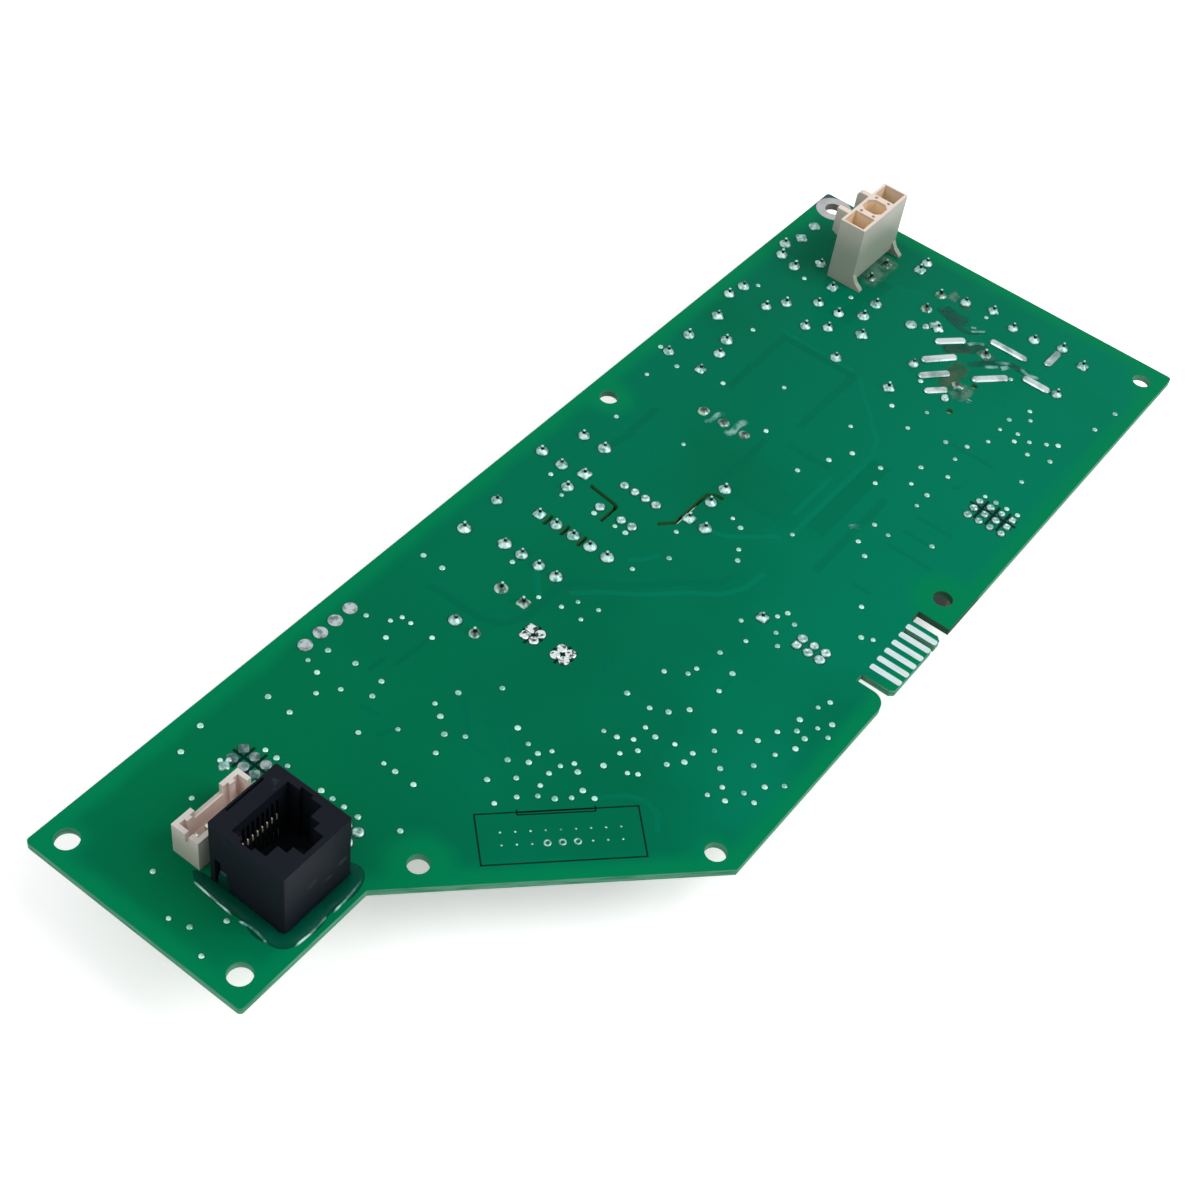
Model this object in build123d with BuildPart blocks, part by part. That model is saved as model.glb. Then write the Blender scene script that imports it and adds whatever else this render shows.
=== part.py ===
"""Dishwasher control board, modelled solder side up: the laminate with its holes and edge
fingers, the solder joints and the connectors on the solder face, and below it the parts that
the joints belong to.  The board lies level on its tallest parts."""
import os
from math import atan2, cos, degrees, hypot, radians, sin

from build123d import *

os.makedirs("parts", exist_ok=True)

# ---------------------------------------------------------------- driving dimensions (mm)
board_length = 239.0          # narrow tail end to mains end
board_width = 89.5
board_thickness = 1.6
tail_width = 46.5             # the narrow end, measured from the far edge
tail_length = 28.4            # straight near edge of the tail, before the 45 degree cut
corner_radius = 0.8

relay_height = 15.5
transformer_height = 15.5
bulk_can_height = 15.0

wire_radius = 0.4             # round component wires
pin_size = 0.64               # square header pins
drill_gap = 0.1               # between a lead and its plated hole
joint_radius = 1.35           # solder cone at the board
joint_height = 0.75
tip_height = 1.7              # snipped lead end above the board
cap_radius = 1.55             # low cap over a lead cut short
cap_height = 0.65
header_pitch = 2.54
dome_radius = 0.95            # flat solder domes of the header pads
dome_height = 0.45
joint_sides = 8               # few faces each, since there are about 150 joints
copper_thickness = 0.07       # bare tinned copper standing on the laminate

board_bottom = max(relay_height, transformer_height, bulk_can_height)
board_top = board_bottom + board_thickness

# Edges of the outline, with the origin below the middle of the board.
x_tail = -board_length / 2
x_mains = board_length / 2
y_near = -board_width / 2
y_far = board_width / 2
y_tail = y_far - tail_width   # near edge of the tail
x_elbow = x_tail + tail_length + board_width - tail_width

TOP = Plane.XY.offset(board_top)         # solder face
UNDER = Plane.XY.offset(board_bottom)    # component face
HANG = (Align.CENTER, Align.CENTER, Align.MAX)
STAND = (Align.CENTER, Align.CENTER, Align.MIN)


def from_tail(x, y):
    """A point measured from the tail end and from the tail's near edge."""
    return (x_tail + x, y_tail + y)


def from_mains(x, y):
    """A point measured back from the mains end and down from the far edge."""
    return (x_mains - x, y_far - y)


def from_near(x, y):
    """A point measured back from the mains end and up from the near edge."""
    return (x_mains - x, y_near + y)


def spots(centre, offsets, turn=0.0):
    """Points at the given offsets from a centre, turned about it by some degrees."""
    c = cos(radians(turn))
    s = sin(radians(turn))
    return [(centre[0] + c * u - s * v, centre[1] + s * u + c * v) for u, v in offsets]


def grid(centre, across, along, columns, rows):
    """Points of a pin grid about its centre."""
    xs = [(i - (columns - 1) / 2) * across for i in range(columns)]
    ys = [(j - (rows - 1) / 2) * along for j in range(rows)]
    return [(centre[0] + x, centre[1] + y) for x in xs for y in ys]


def middle(pair):
    """Centre of a two-lead part and the direction from its first lead to its second."""
    (ax, ay), (bx, by) = pair
    return ((ax + bx) / 2, (ay + by) / 2), degrees(atan2(by - ay, bx - ax))


def at(points, z):
    """Locations on the level z."""
    return Locations(*[(x, y, z) for x, y in points])


def save(piece, name):
    """Label a finished piece and write its STEP file."""
    piece.part.label = name
    export_step(piece.part, f"parts/{name}.step")


# ---------------------------------------------------------------- places on the board
tail_hole_radius = 2.15
board_hole_radius = 1.95
tail_holes = [from_tail(4.5, 4.4), from_tail(4.5, 41.9)]
board_holes = [
    from_tail(37.6, -2.9),
    (x_elbow + 0.5, y_near + 4.7),
    from_mains(90.9, 4.9),
    from_near(90.9, 4.9),
    from_near(5.6, 4.6),
]
earth_hole = from_mains(4.15, 4.25)
earth_hole_radius = 2.0
earth_ring_radius = 4.1

# modular jack, small signal header and the long harness header below them
jack_length = 15.2
jack_depth = 15.9
jack_height = 15.4
jack_corner = from_tail(13.9, 4.0)
jack_centre = (jack_corner[0] + jack_length / 2, jack_corner[1] + jack_depth / 2)
signal_pitch = 2.5
signal_count = 5
signal_overhang = 2.35        # housing beyond its end pins
signal_pin_height = 4.4       # pins above the board
signal_width = 5.8
signal_height = 7.3
signal_gap = 2.3              # behind the jack
signal_length = (signal_count - 1) * signal_pitch + 2 * signal_overhang
signal_centre = (jack_corner[0] + signal_length / 2,
                 jack_corner[1] + jack_depth + signal_gap + signal_width / 2)
harness_rows = 11
harness_centre = from_tail(34.4, 21.1)
harness_pitch = 2.7           # between its two pin columns
harness_pins = grid(harness_centre, harness_pitch, header_pitch, 2, harness_rows)

# two sugar-cube relays at the mains end
relay_length = 19.2
relay_width = 15.5
relay_gap = 2.0
coil_span = 12.1
coil_offset = 2.0             # coil pins inboard of the common pin
contact_offset = 14.2         # contact pins inboard of the common pin
common_margin = 2.4           # common pin to the relay's end
relay_commons = [from_mains(9.0, 49.6), from_mains(9.0, 49.6 + relay_width + relay_gap)]
relay_centres = [(x + common_margin - relay_length / 2, y) for x, y in relay_commons]
coil_pins = [(x - coil_offset, y + s * coil_span / 2) for x, y in relay_commons for s in (1, -1)]
contact_pins = [(relay_commons[0][0] - contact_offset, relay_commons[0][1] + coil_span / 2),
                (relay_commons[0][0] - contact_offset, relay_commons[0][1] - coil_span / 2),
                (relay_commons[1][0] - contact_offset, relay_commons[1][1] - coil_span / 2)]

# switch-mode transformer: five primary pins, four secondary pins, slots between the primaries
transformer_centre = from_mains(131.7, 23.2)
transformer_row_gap = 10.5
transformer_pitch = 4.05
primary_pins = grid((transformer_centre[0] + transformer_row_gap / 2, transformer_centre[1]),
                    0, transformer_pitch, 1, 5)
secondary_pins = grid((transformer_centre[0] - transformer_row_gap / 2,
                       transformer_centre[1] + transformer_pitch / 2),
                      0, transformer_pitch, 1, 4)

# line choke
choke_centre = from_mains(42.2, 39.0)
choke_across = 10.3
choke_along = 13.2
choke_pins = grid(choke_centre, choke_across, choke_along, 2, 2)

# power switch: an eight-pin outline with one pin left out for creepage
switch_centre = from_mains(113.0, 26.2)
switch_row_gap = 7.9
switch_pins = (grid((switch_centre[0] + switch_row_gap / 2, switch_centre[1]),
                    0, header_pitch, 1, 4)
               + spots((switch_centre[0] - switch_row_gap / 2, switch_centre[1]),
                       [(0, 1.5 * header_pitch), (0, -0.5 * header_pitch),
                        (0, -1.5 * header_pitch)]))

# headers that hang on the component face
sensor_centre = from_near(65.5, 8.8)
sensor_pitch = 2.45           # between its three pin columns
sensor_pins = grid(sensor_centre, sensor_pitch, header_pitch, 3, 4)
program_centre = from_near(118.9, 16.9)
program_pitch = 2.1
program_pins = grid(program_centre, program_pitch, header_pitch, 2, 3)
heater_centre = from_mains(80.7, 26.4)
heater_pitch = 5.0
heater_pins = grid(heater_centre, 0, heater_pitch, 1, 3)
pump_centre = from_mains(38.9, 56.1)
pump_pitch = 5.4
pump_pins = grid(pump_centre, pump_pitch, 0, 2, 1)
peg_holes = spots(pump_centre, [(-5.25, -2.7), (5.25, -2.7)])
peg_radius = 0.75
peg_reach = 0.7               # moulded pegs into the board

# two-lead parts, each a pair of lead places
safety_disc = (from_mains(139.1, 7.1), from_mains(129.2, 6.9))
output_can = (from_mains(157.6, 20.4), from_mains(157.6, 25.0))
drum_choke = (from_mains(146.0, 21.6), from_mains(146.0, 26.9))
supply_can = (from_mains(103.5, 8.2), from_mains(103.5, 13.3))
small_can = (from_mains(101.0, 37.4), from_mains(96.1, 37.4))
bulk_can = (from_mains(64.0, 13.7), from_mains(71.0, 13.7))
varistor = (from_mains(71.1, 5.6), from_mains(63.8, 5.6))
thermistor = (from_mains(59.4, 12.4), from_mains(54.3, 6.5))
fuse = (from_mains(18.7, 4.8), from_mains(13.0, 4.6))
film_caps = [(from_mains(19.2, 23.7), from_mains(19.2, 38.2)),
             (from_mains(12.8, 23.7), from_mains(12.8, 38.2))]
snubber_cap = (from_mains(28.2, 9.1), from_mains(28.2, 19.3))
ceramics = [
    (from_mains(117.0, 14.5), from_mains(111.9, 14.8)),
    (from_mains(113.0, 10.0), from_mains(112.7, 4.9)),
    (from_mains(46.5, 4.1), from_mains(42.1, 4.9)),
    (from_mains(44.2, 12.3), from_mains(40.0, 14.8)),
    (from_mains(43.5, 22.0), from_mains(40.4, 25.9)),
    (from_mains(34.9, 19.9), from_mains(34.7, 25.0)),
    (from_mains(31.5, 29.4), from_mains(26.1, 29.3)),
    (from_mains(26.8, 4.9), from_mains(23.1, 3.3)),
    (from_mains(8.6, 30.2), from_mains(5.4, 30.2)),
    (from_mains(107.5, 36.8), from_mains(107.5, 40.6)),
]
spare_joints = [from_near(118.7, 27.9), from_mains(23.2, 12.9), from_mains(26.4, 38.6)]
flat_pads = grid(from_mains(174.1, 4.9), 3.87, 0, 4, 1)
flat_pad_radius = 1.35
regulator_centre = from_mains(150.8, 36.2)
thermal_pads = spots(regulator_centre, [(x, y) for y in (-4.5, -2.5, 2.4, 4.4) for x in (-1, 1)])
optocoupler_body = (4.6, 6.5, 3.4)
optocoupler_places = grid(from_mains(127.0, 46.0), 8.0, 0, 3, 1)
inductor_body = (12.0, 12.0, 8.0)
inductor_centre = from_near(82.6, 9.2)

# The microcontroller with the small parts that are laid out round it.
controller_centre = from_mains(165.0, 52.0)
[crystal_centre, driver_centre, memory_centre, controller_resistors, driver_resistors,
 controller_capacitors, memory_capacitors] = spots(controller_centre, [
     (0, 11.5), (9.0, -15.5), (15.0, 5.0), (-10.2, 1.0), (21.5, -17.5), (-0.5, -8.5), (18.0, -1.0)])
harness_resistors = (harness_centre[0] + 18.6, harness_centre[1] + 3.4)
resistor_places = (grid(controller_resistors, 3.4, 2.2, 2, 5)
                   + grid(driver_resistors, 3.6, 2.4, 2, 5)
                   + grid(harness_resistors, 3.6, 2.4, 2, 4))
capacitor_places = (grid(controller_capacitors, 2.6, 0, 5, 1)
                    + grid(memory_capacitors, 2.6, 3.2, 4, 2)
                    + grid(from_mains(105.0, 52.0), 2.8, 3.2, 3, 2))

# mains connector on the solder face
mains_length = 18.1
mains_width = 6.0
mains_height = 15.4
mains_pitch = 6.3
mains_centre = from_mains(25.4 - mains_length / 2, 22.05 - mains_width / 2)
mains_pins = grid(mains_centre, mains_pitch, 0, 3, 1)

# ---------------------------------------------------------------- the leads, gathered by kind
two_lead_parts = [safety_disc, output_can, drum_choke, supply_can, small_can, bulk_can,
                  varistor, thermistor, fuse, snubber_cap, *film_caps, *ceramics]
wire_points = [point for pair in two_lead_parts for point in pair]
frame_points = relay_commons + coil_pins + contact_pins + primary_pins + secondary_pins + choke_pins
capped_points = [*fuse, spare_joints[-1]]
tipped_points = [point for point in wire_points + frame_points + spare_joints
                 if point not in capped_points]
pin_points = switch_pins + sensor_pins + program_pins + heater_pins + pump_pins + harness_pins
# These pass the other way, from the connectors on the solder face.
signal_pins = grid(signal_centre, signal_pitch, 0, signal_count, 1)
jack_pin_pitch = 1.27
jack_pins = [(jack_centre[0] + (i - 3.5) * jack_pin_pitch,
              jack_centre[1] + jack_depth / 2 - (4.0 if i % 2 else 6.54)) for i in range(8)]

# ---------------------------------------------------------------- edge connector values
finger_count = 6
finger_pitch = 2.59
finger_width = 1.35
finger_length = 6.6
tab_length = 17.4
notch_depth = 6.7
left_notch = 2.1
right_notch = 3.0
key_width = 1.1
tab_centre = from_near(108.5, 0)
tab_chamfer = 0.8
notch_round = 3.0             # outer corner beside the left notch
slot_width = 0.9              # routed creepage slots


# ---------------------------------------------------------------- laminate
tab_left = tab_centre[0] - tab_length / 2
tab_right = tab_centre[0] + tab_length / 2
finger_points = [(tab_left + 2.65 + i * finger_pitch, y_near + finger_length / 2)
                 for i in range(finger_count)]
key_x = (finger_points[4][0] + finger_points[5][0]) / 2
slot_corner = (switch_centre[0] - 1.4, switch_centre[1] + 1.6)
slot_run = spots(switch_centre, [(0.2, -6.9), (3.0, -9.3), (13.2, -9.3), (14.5, -11.0), (14.5, -12.5)])

with BuildPart() as board:
    with BuildSketch(UNDER) as outline:
        with BuildLine():
            Polyline((x_tail, y_tail), (x_tail + tail_length, y_tail), (x_elbow, y_near),
                     (x_mains, y_near), (x_mains, y_far), (x_tail, y_far), close=True)
        make_face()
        fillet(outline.vertices().filter_by(lambda v: v.X < x_tail + 1 or v.X > x_mains - 1),
               corner_radius)
        # notches either side of the finger tab, and the key slot between two fingers
        with Locations((tab_left - left_notch / 2, y_near)):
            Rectangle(left_notch, 2 * notch_depth, mode=Mode.SUBTRACT)
        with Locations((tab_right + right_notch / 2, y_near)):
            Rectangle(right_notch, 2 * notch_depth, mode=Mode.SUBTRACT)
        with Locations((key_x, y_near)):
            Rectangle(key_width, 2 * finger_length - 0.4, mode=Mode.SUBTRACT)
        tab_corners = outline.vertices().filter_by(
            lambda v: abs(v.Y - y_near) < 0.01 and min(abs(v.X - tab_left), abs(v.X - tab_right)) < 0.01)
        chamfer(tab_corners, tab_chamfer)
        outer_corner = outline.vertices().filter_by(
            lambda v: abs(v.Y - y_near) < 0.01 and abs(v.X - tab_left + left_notch) < 0.01)
        fillet(outer_corner, notch_round)
        # mounting holes
        with Locations(*tail_holes):
            Circle(tail_hole_radius, mode=Mode.SUBTRACT)
        with Locations(*board_holes):
            Circle(board_hole_radius, mode=Mode.SUBTRACT)
        with Locations(earth_hole):
            Circle(earth_hole_radius, mode=Mode.SUBTRACT)
        # drilled holes for leads, pins and pegs
        with Locations(*wire_points, *frame_points):
            Circle(wire_radius + drill_gap, mode=Mode.SUBTRACT)
        with Locations(*pin_points, *signal_pins, *jack_pins, *mains_pins):
            Circle(pin_size / 2 ** 0.5 + drill_gap / 2, mode=Mode.SUBTRACT)
        with Locations(*peg_holes):
            Circle(peg_radius, mode=Mode.SUBTRACT)
        # creepage slots: between the primary pins and round both sides of the power switch
        with Locations(*[(x, y + transformer_pitch / 2) for x, y in primary_pins[1:4]]):
            SlotOverall(3.2, slot_width, mode=Mode.SUBTRACT)
        with BuildLine() as corner_slot:
            FilletPolyline((slot_corner[0] - 5.4, slot_corner[1]), slot_corner,
                           (slot_corner[0] + 0.9, slot_corner[1] + 7.2), radius=0.7)
        trace(corner_slot.line, line_width=slot_width, mode=Mode.SUBTRACT)
        with BuildLine() as long_slot:
            FilletPolyline(*slot_run, radius=0.6)
        trace(long_slot.line, line_width=slot_width, mode=Mode.SUBTRACT)
    extrude(amount=board_thickness)
save(board, "board")

# ---------------------------------------------------------------- copper left bare and tinned
with BuildPart() as edge_fingers:
    with BuildSketch(TOP):
        with Locations(*finger_points):
            RectangleRounded(finger_width, finger_length, finger_width * 0.3)
    extrude(amount=copper_thickness)
save(edge_fingers, "edge_fingers")

with BuildPart() as earth_ring:
    with BuildSketch(TOP):
        with Locations(earth_hole):
            Circle(earth_ring_radius)
            Circle(earth_hole_radius, mode=Mode.SUBTRACT)
    extrude(amount=copper_thickness)
save(earth_ring, "earth_ring")

with BuildPart() as flat_solder_pads:
    with BuildSketch(TOP):
        with Locations(*flat_pads):
            Circle(flat_pad_radius)
    extrude(amount=dome_height / 2)
save(flat_solder_pads, "flat_solder_pads")

# Bars of solder that thicken the relay tracks.  Each is given by its two ends and its width,
# and swells to a low rounded back.
bar_height = 0.55
bar_taper = 40                # degrees, of the rounded back
bars = [
    (from_mains(42.3, 52.3), from_mains(39.6, 54.7), 1.7),
    (from_mains(39.0, 48.9), from_mains(34.8, 52.4), 1.8),
    (from_mains(34.1, 46.8), from_mains(29.2, 50.8), 1.9),
    (from_mains(26.9, 45.9), from_mains(23.0, 49.5), 1.8),
    (from_mains(31.8, 58.0), from_mains(27.0, 62.4), 1.8),
    (from_mains(18.4, 54.9), from_mains(18.4, 62.4), 1.7),
    (from_mains(23.8, 66.1), from_mains(23.8, 70.8), 1.9),
    (from_mains(15.9, 67.1), from_mains(11.6, 67.1), 1.7),
]
with BuildPart() as solder_bars:
    for start, end, width in bars:
        centre, turn = middle((start, end))
        length = hypot(end[0] - start[0], end[1] - start[1]) + width
        with BuildSketch(TOP):
            with Locations(Location(centre, turn)):
                SlotOverall(length, width)
        extrude(amount=bar_height / 2)
        with BuildSketch(TOP.offset(bar_height / 2)):
            with Locations(Location(centre, turn)):
                SlotOverall(length, width)
        extrude(amount=bar_height / 2, taper=bar_taper)
save(solder_bars, "solder_bars")

# ---------------------------------------------------------------- solder joints
with BuildPart() as wire_joint:
    with BuildSketch():
        RegularPolygon(joint_radius, joint_sides)
    with BuildSketch(Plane.XY.offset(joint_height)):
        RegularPolygon(wire_radius, joint_sides)
    loft()
    with BuildSketch(Plane.XY.offset(joint_height)):
        RegularPolygon(wire_radius, joint_sides)
    extrude(amount=tip_height - joint_height)

with BuildPart() as cap_joint:
    with BuildSketch():
        RegularPolygon(cap_radius, joint_sides)
    with BuildSketch(Plane.XY.offset(cap_height)):
        RegularPolygon(cap_radius * 0.55, joint_sides)
    loft()

with BuildPart() as wire_joints:
    with at(tipped_points, board_top):
        add(wire_joint.part)
    with at(capped_points, board_top):
        add(cap_joint.part)
save(wire_joints, "wire_joints")

with BuildPart() as pin_joint:
    with BuildSketch():
        RegularPolygon(dome_radius, joint_sides)
    with BuildSketch(Plane.XY.offset(dome_height)):
        RegularPolygon(dome_radius * 0.55, joint_sides)
    loft()

with BuildPart() as pin_joints:
    with at(pin_points + thermal_pads, board_top):
        add(pin_joint.part)
save(pin_joints, "pin_joints")

# The connectors on the solder face are soldered on the other side.
with BuildPart() as under_joints:
    with at(signal_pins + jack_pins + mains_pins, board_bottom):
        add(pin_joint.part.rotate(Axis.X, 180))
save(under_joints, "under_joints")

# ---------------------------------------------------------------- modular jack
jack_wall_rear = 3.75         # behind the plug opening
plug_width = 12.4
plug_depth = 7.15
plug_drop = 12.8              # how deep the plug goes
shoulder_width = 13.7
shoulder_depth = 2.5
latch_steps = ((7.3, 1.9), (4.5, 2.1))
contact_pitch = 1.07
contact_count = 8
contact_width = 0.45
rear_plate = 1.2
relief_depth = 2.5            # of the stepped relief in the side walls
relief_height = 4.8
jack_rear = jack_centre[1] + jack_depth / 2
plug_y = jack_rear - jack_wall_rear - plug_depth / 2
plug_front = plug_y - plug_depth / 2
jack_top = board_top + jack_height

with BuildPart() as jack_housing:
    with BuildSketch(TOP):
        with Locations(jack_centre):
            RectangleRounded(jack_length, jack_depth, 0.3)
    extrude(amount=jack_height)
    with BuildSketch(Plane.XY.offset(jack_top)):
        with Locations((jack_centre[0], plug_y)):
            Rectangle(plug_width, plug_depth)
        with Locations((jack_centre[0], plug_y)):
            Rectangle(shoulder_width, shoulder_depth)
        step_y = plug_front
        for step_width, step_depth in latch_steps:
            step_y -= step_depth
            with Locations((jack_centre[0], step_y + step_depth / 2)):
                Rectangle(step_width, step_depth)
    extrude(amount=-plug_drop, mode=Mode.SUBTRACT)
    # slit for the contact carrier, and the comb that holds the contacts
    with BuildSketch(Plane.XY.offset(jack_top)):
        with Locations((jack_centre[0], jack_rear - 0.55)):
            Rectangle(8.2, 0.45)
    extrude(amount=-2.0, mode=Mode.SUBTRACT)
    with BuildSketch(Plane.XY.offset(jack_top - 2.5)):
        with Locations(*[(jack_centre[0] + (i - 3.5) * contact_pitch,
                          plug_y + plug_depth / 2 + 0.6) for i in range(contact_count)]):
            Rectangle(contact_width + 0.1, 1.2)
    extrude(amount=-plug_drop + 2.5, mode=Mode.SUBTRACT)
    # stepped relief at the foot of the side walls, in front of the rear wall
    with BuildSketch(Plane.YZ.offset(jack_centre[0])):
        with Locations((jack_rear - rear_plate, board_top)):
            Polygon((0, 0), (-relief_depth, 0), (-relief_depth, relief_height),
                    (-relief_depth / 2, relief_height), (-relief_depth / 2, relief_height * 1.4),
                    (0, relief_height * 1.4), align=None)
    extrude(amount=jack_length, both=True, mode=Mode.SUBTRACT)
save(jack_housing, "jack_housing")

contact_drop = 6.4            # contact tips below the jack's mouth
with BuildPart() as jack_contacts:
    with Locations(*[(jack_centre[0] + (i - 3.5) * contact_pitch,
                      plug_y + plug_depth / 2 + 0.25, jack_top - plug_drop)
                     for i in range(contact_count)]):
        Box(contact_width, 0.5, plug_drop - contact_drop, align=STAND)
save(jack_contacts, "jack_contacts")

# Bead of clear sealant round the two open sides of the jack's foot.
bead_width = 2.6
bead_height = 0.9
with BuildPart() as jack_sealant:
    with BuildSketch(TOP):
        with Locations(jack_corner):
            Polygon((-bead_width, jack_depth - 1), (-bead_width, -1.2), (-1.4, -bead_width),
                    (jack_length - 1, -bead_width), (jack_length + 0.4, -1.0), (jack_length, 0),
                    (0, 0), (0, jack_depth - 1), align=None)
    extrude(amount=bead_height / 2)
    with BuildSketch(TOP.offset(bead_height / 2)):
        with Locations(jack_corner):
            Polygon((-bead_width * 0.6, jack_depth - 1.5), (-bead_width * 0.6, -0.8),
                    (-0.9, -bead_width * 0.6), (jack_length - 1.5, -bead_width * 0.6),
                    (jack_length - 0.6, 0), (0, 0), (0, jack_depth - 1.5), align=None)
    extrude(amount=bead_height / 2)
save(jack_sealant, "jack_sealant")

# ---------------------------------------------------------------- small signal header
signal_wall = 0.9
signal_floor = 1.6
signal_cut = 2.1              # depth of the latch cut-out in the rear wall
signal_post = 4.2             # rear wall left standing at each end

with BuildPart() as signal_header:
    with BuildSketch(TOP):
        with Locations(signal_centre):
            Rectangle(signal_length, signal_width)
    extrude(amount=signal_height)
    with BuildSketch(TOP.offset(signal_height)):
        with Locations(signal_centre):
            Rectangle(signal_length - 2 * signal_wall, signal_width - 2 * signal_wall)
    extrude(amount=signal_floor - signal_height, mode=Mode.SUBTRACT)
    # rear wall cut down between its end posts, slots in both ends
    with Locations((signal_centre[0], signal_centre[1] + signal_width / 2,
                    board_top + signal_height)):
        Box(signal_length - 2 * signal_post, 2 * signal_wall, 2 * signal_cut, mode=Mode.SUBTRACT)
    with Locations((signal_centre[0], signal_centre[1] - 0.5, board_top + signal_height)):
        Box(signal_length + 1, 0.9, 2 * signal_cut, mode=Mode.SUBTRACT)
    # polarising ribs inside the rear posts
    with Locations((signal_centre[0] - signal_length / 2 + 2.6, signal_centre[1] + 1.7,
                    board_top + signal_floor),
                   (signal_centre[0] + signal_length / 2 - 2.6, signal_centre[1] + 1.7,
                    board_top + signal_floor)):
        Box(1.1, 0.6, signal_height - signal_floor, align=STAND)
    with Locations(*[(x, y, board_top) for x, y in signal_pins]):
        Box(pin_size, pin_size, 2 * signal_floor, mode=Mode.SUBTRACT)
save(signal_header, "signal_header")

with BuildPart() as signal_header_pins:
    with at(signal_pins, board_bottom):
        Box(pin_size, pin_size, board_thickness + signal_pin_height, align=STAND)
save(signal_header_pins, "signal_header_pins")

# ---------------------------------------------------------------- mains connector
mains_wall = 0.6
mains_web = 1.6               # between neighbouring cavities
mains_lift = 1.5              # body clear of the board between its feet
mains_floor = 4.0
foot_length = 1.2
foot_reach = 2.4
rib_thickness = 1.3
rib_reach = 2.8
rib_height = 7.0
mains_front = mains_centre[1] - mains_width / 2
mains_rear = mains_centre[1] + mains_width / 2
mains_top = board_top + mains_height
cavity_width = mains_width - 2 * mains_wall
cavity_length = mains_pitch - mains_web
cavity_rounding = 1.1

with BuildPart() as mains_connector:
    with Locations((*mains_centre, board_top)):
        Box(mains_length, mains_width, mains_height, align=STAND)
    with Locations((*mains_centre, board_top)):
        Box(mains_length - 2 * foot_length, mains_width, mains_lift, align=STAND,
            mode=Mode.SUBTRACT)
    # three keyed cavities: square at both ends, eight-sided in the middle
    with BuildSketch(Plane.XY.offset(mains_top)) as mouths:
        with Locations(*[(x, y) for x, y in mains_pins]):
            Rectangle(cavity_length, cavity_width)
        inner = mouths.vertices().filter_by(lambda v: abs(v.X - mains_centre[0]) < mains_pitch / 2)
        chamfer(inner, cavity_rounding)
        for x, y in mains_pins[1:]:
            with Locations((x - mains_pitch / 2, y + cavity_width * 0.32),
                           (x - mains_pitch / 2, y - cavity_width * 0.32)):
                Rectangle(0.7, 0.7)
    extrude(amount=mains_lift + mains_floor - mains_height, mode=Mode.SUBTRACT)
    # feet on the near side
    with BuildSketch(Plane.YZ.offset(mains_centre[0] - mains_length / 2)) as foot:
        with Locations((mains_front, board_top)):
            Polygon((0, 0), (-foot_reach, 0), (-foot_reach, 0.4), (-0.9, 1.6), (0, 3.2), align=None)
    extrude(amount=foot_length)
    with BuildSketch(Plane.YZ.offset(mains_centre[0] + mains_length / 2)):
        with Locations((mains_front, board_top)):
            Polygon((0, 0), (-foot_reach, 0), (-foot_reach, 0.4), (-0.9, 1.6), (0, 3.2), align=None)
    extrude(amount=-foot_length)
    # latch ribs on the far side
    with BuildSketch(Plane.YZ.offset(mains_centre[0] - mains_length / 2 + 2.9)):
        with Locations((mains_rear, mains_top)):
            Polygon((0, 0), (rib_reach, 0), (rib_reach, -rib_height + 1), (0.8, -rib_height),
                    (0, -rib_height), align=None)
    extrude(amount=rib_thickness)
    with BuildSketch(Plane.YZ.offset(mains_centre[0] + 2.3)) as high_rib:
        with Locations((mains_rear, mains_top)):
            Polygon((0, 0), (rib_reach, 0), (rib_reach, -rib_height + 1), (0.8, -rib_height),
                    (0, -rib_height), align=None)
        fillet(high_rib.vertices().sort_by(Axis.Y)[-2:].sort_by(Axis.Z)[-1], 1.2)
    extrude(amount=rib_thickness)
    with Locations(*[(x, y, board_top + mains_lift) for x, y in mains_pins]):
        Box(pin_size, 2 * pin_size, mains_floor + 1, align=STAND, mode=Mode.SUBTRACT)
save(mains_connector, "mains_connector")

blade_width = 2 * pin_size
with BuildPart() as mains_blades:
    with at(mains_pins, board_bottom):
        Box(pin_size, pin_size, board_thickness + mains_lift, align=STAND)
    with at(mains_pins, board_top + mains_lift):
        Box(pin_size, blade_width, mains_height - mains_lift - 4.5, align=STAND)
save(mains_blades, "mains_blades")

# ---------------------------------------------------------------- relays
relay_base = 1.6              # sealed base let into the open end of the case
relay_wall = 0.9

with BuildPart() as relay_cases:
    with BuildSketch(UNDER):
        with Locations(*relay_centres):
            RectangleRounded(relay_length, relay_width, 1.0)
    extrude(amount=-relay_height)
    chamfer(relay_cases.faces().sort_by(Axis.Z)[:2].edges(), 0.4)
    with BuildSketch(UNDER):
        with Locations(*relay_centres):
            Rectangle(relay_length - 2 * relay_wall, relay_width - 2 * relay_wall)
    extrude(amount=-relay_base, mode=Mode.SUBTRACT)
save(relay_cases, "relay_cases")

with BuildPart() as relay_bases:
    with Locations(*[(x, y, board_bottom) for x, y in relay_centres]):
        Box(relay_length - 2 * relay_wall, relay_width - 2 * relay_wall, relay_base, align=HANG)
save(relay_bases, "relay_bases")

# ---------------------------------------------------------------- transformer
core_width = 17.0
core_depth = 6.0              # across the pin rows
core_leg = 2.9
centre_leg = 4.6
core_yoke = 2.9
flange = 1.2
rail_overhang = 2.1           # pin rails beyond the core at each end
bobbin_wall = 0.8
core_bottom = board_bottom - transformer_height
core_height = transformer_height - 0.6
window_height = core_height - 2 * core_yoke
window_top = core_bottom + core_yoke + window_height
winding_span = core_width - 2 * core_leg - 0.8
winding_depth = transformer_row_gap + 1.5

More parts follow.
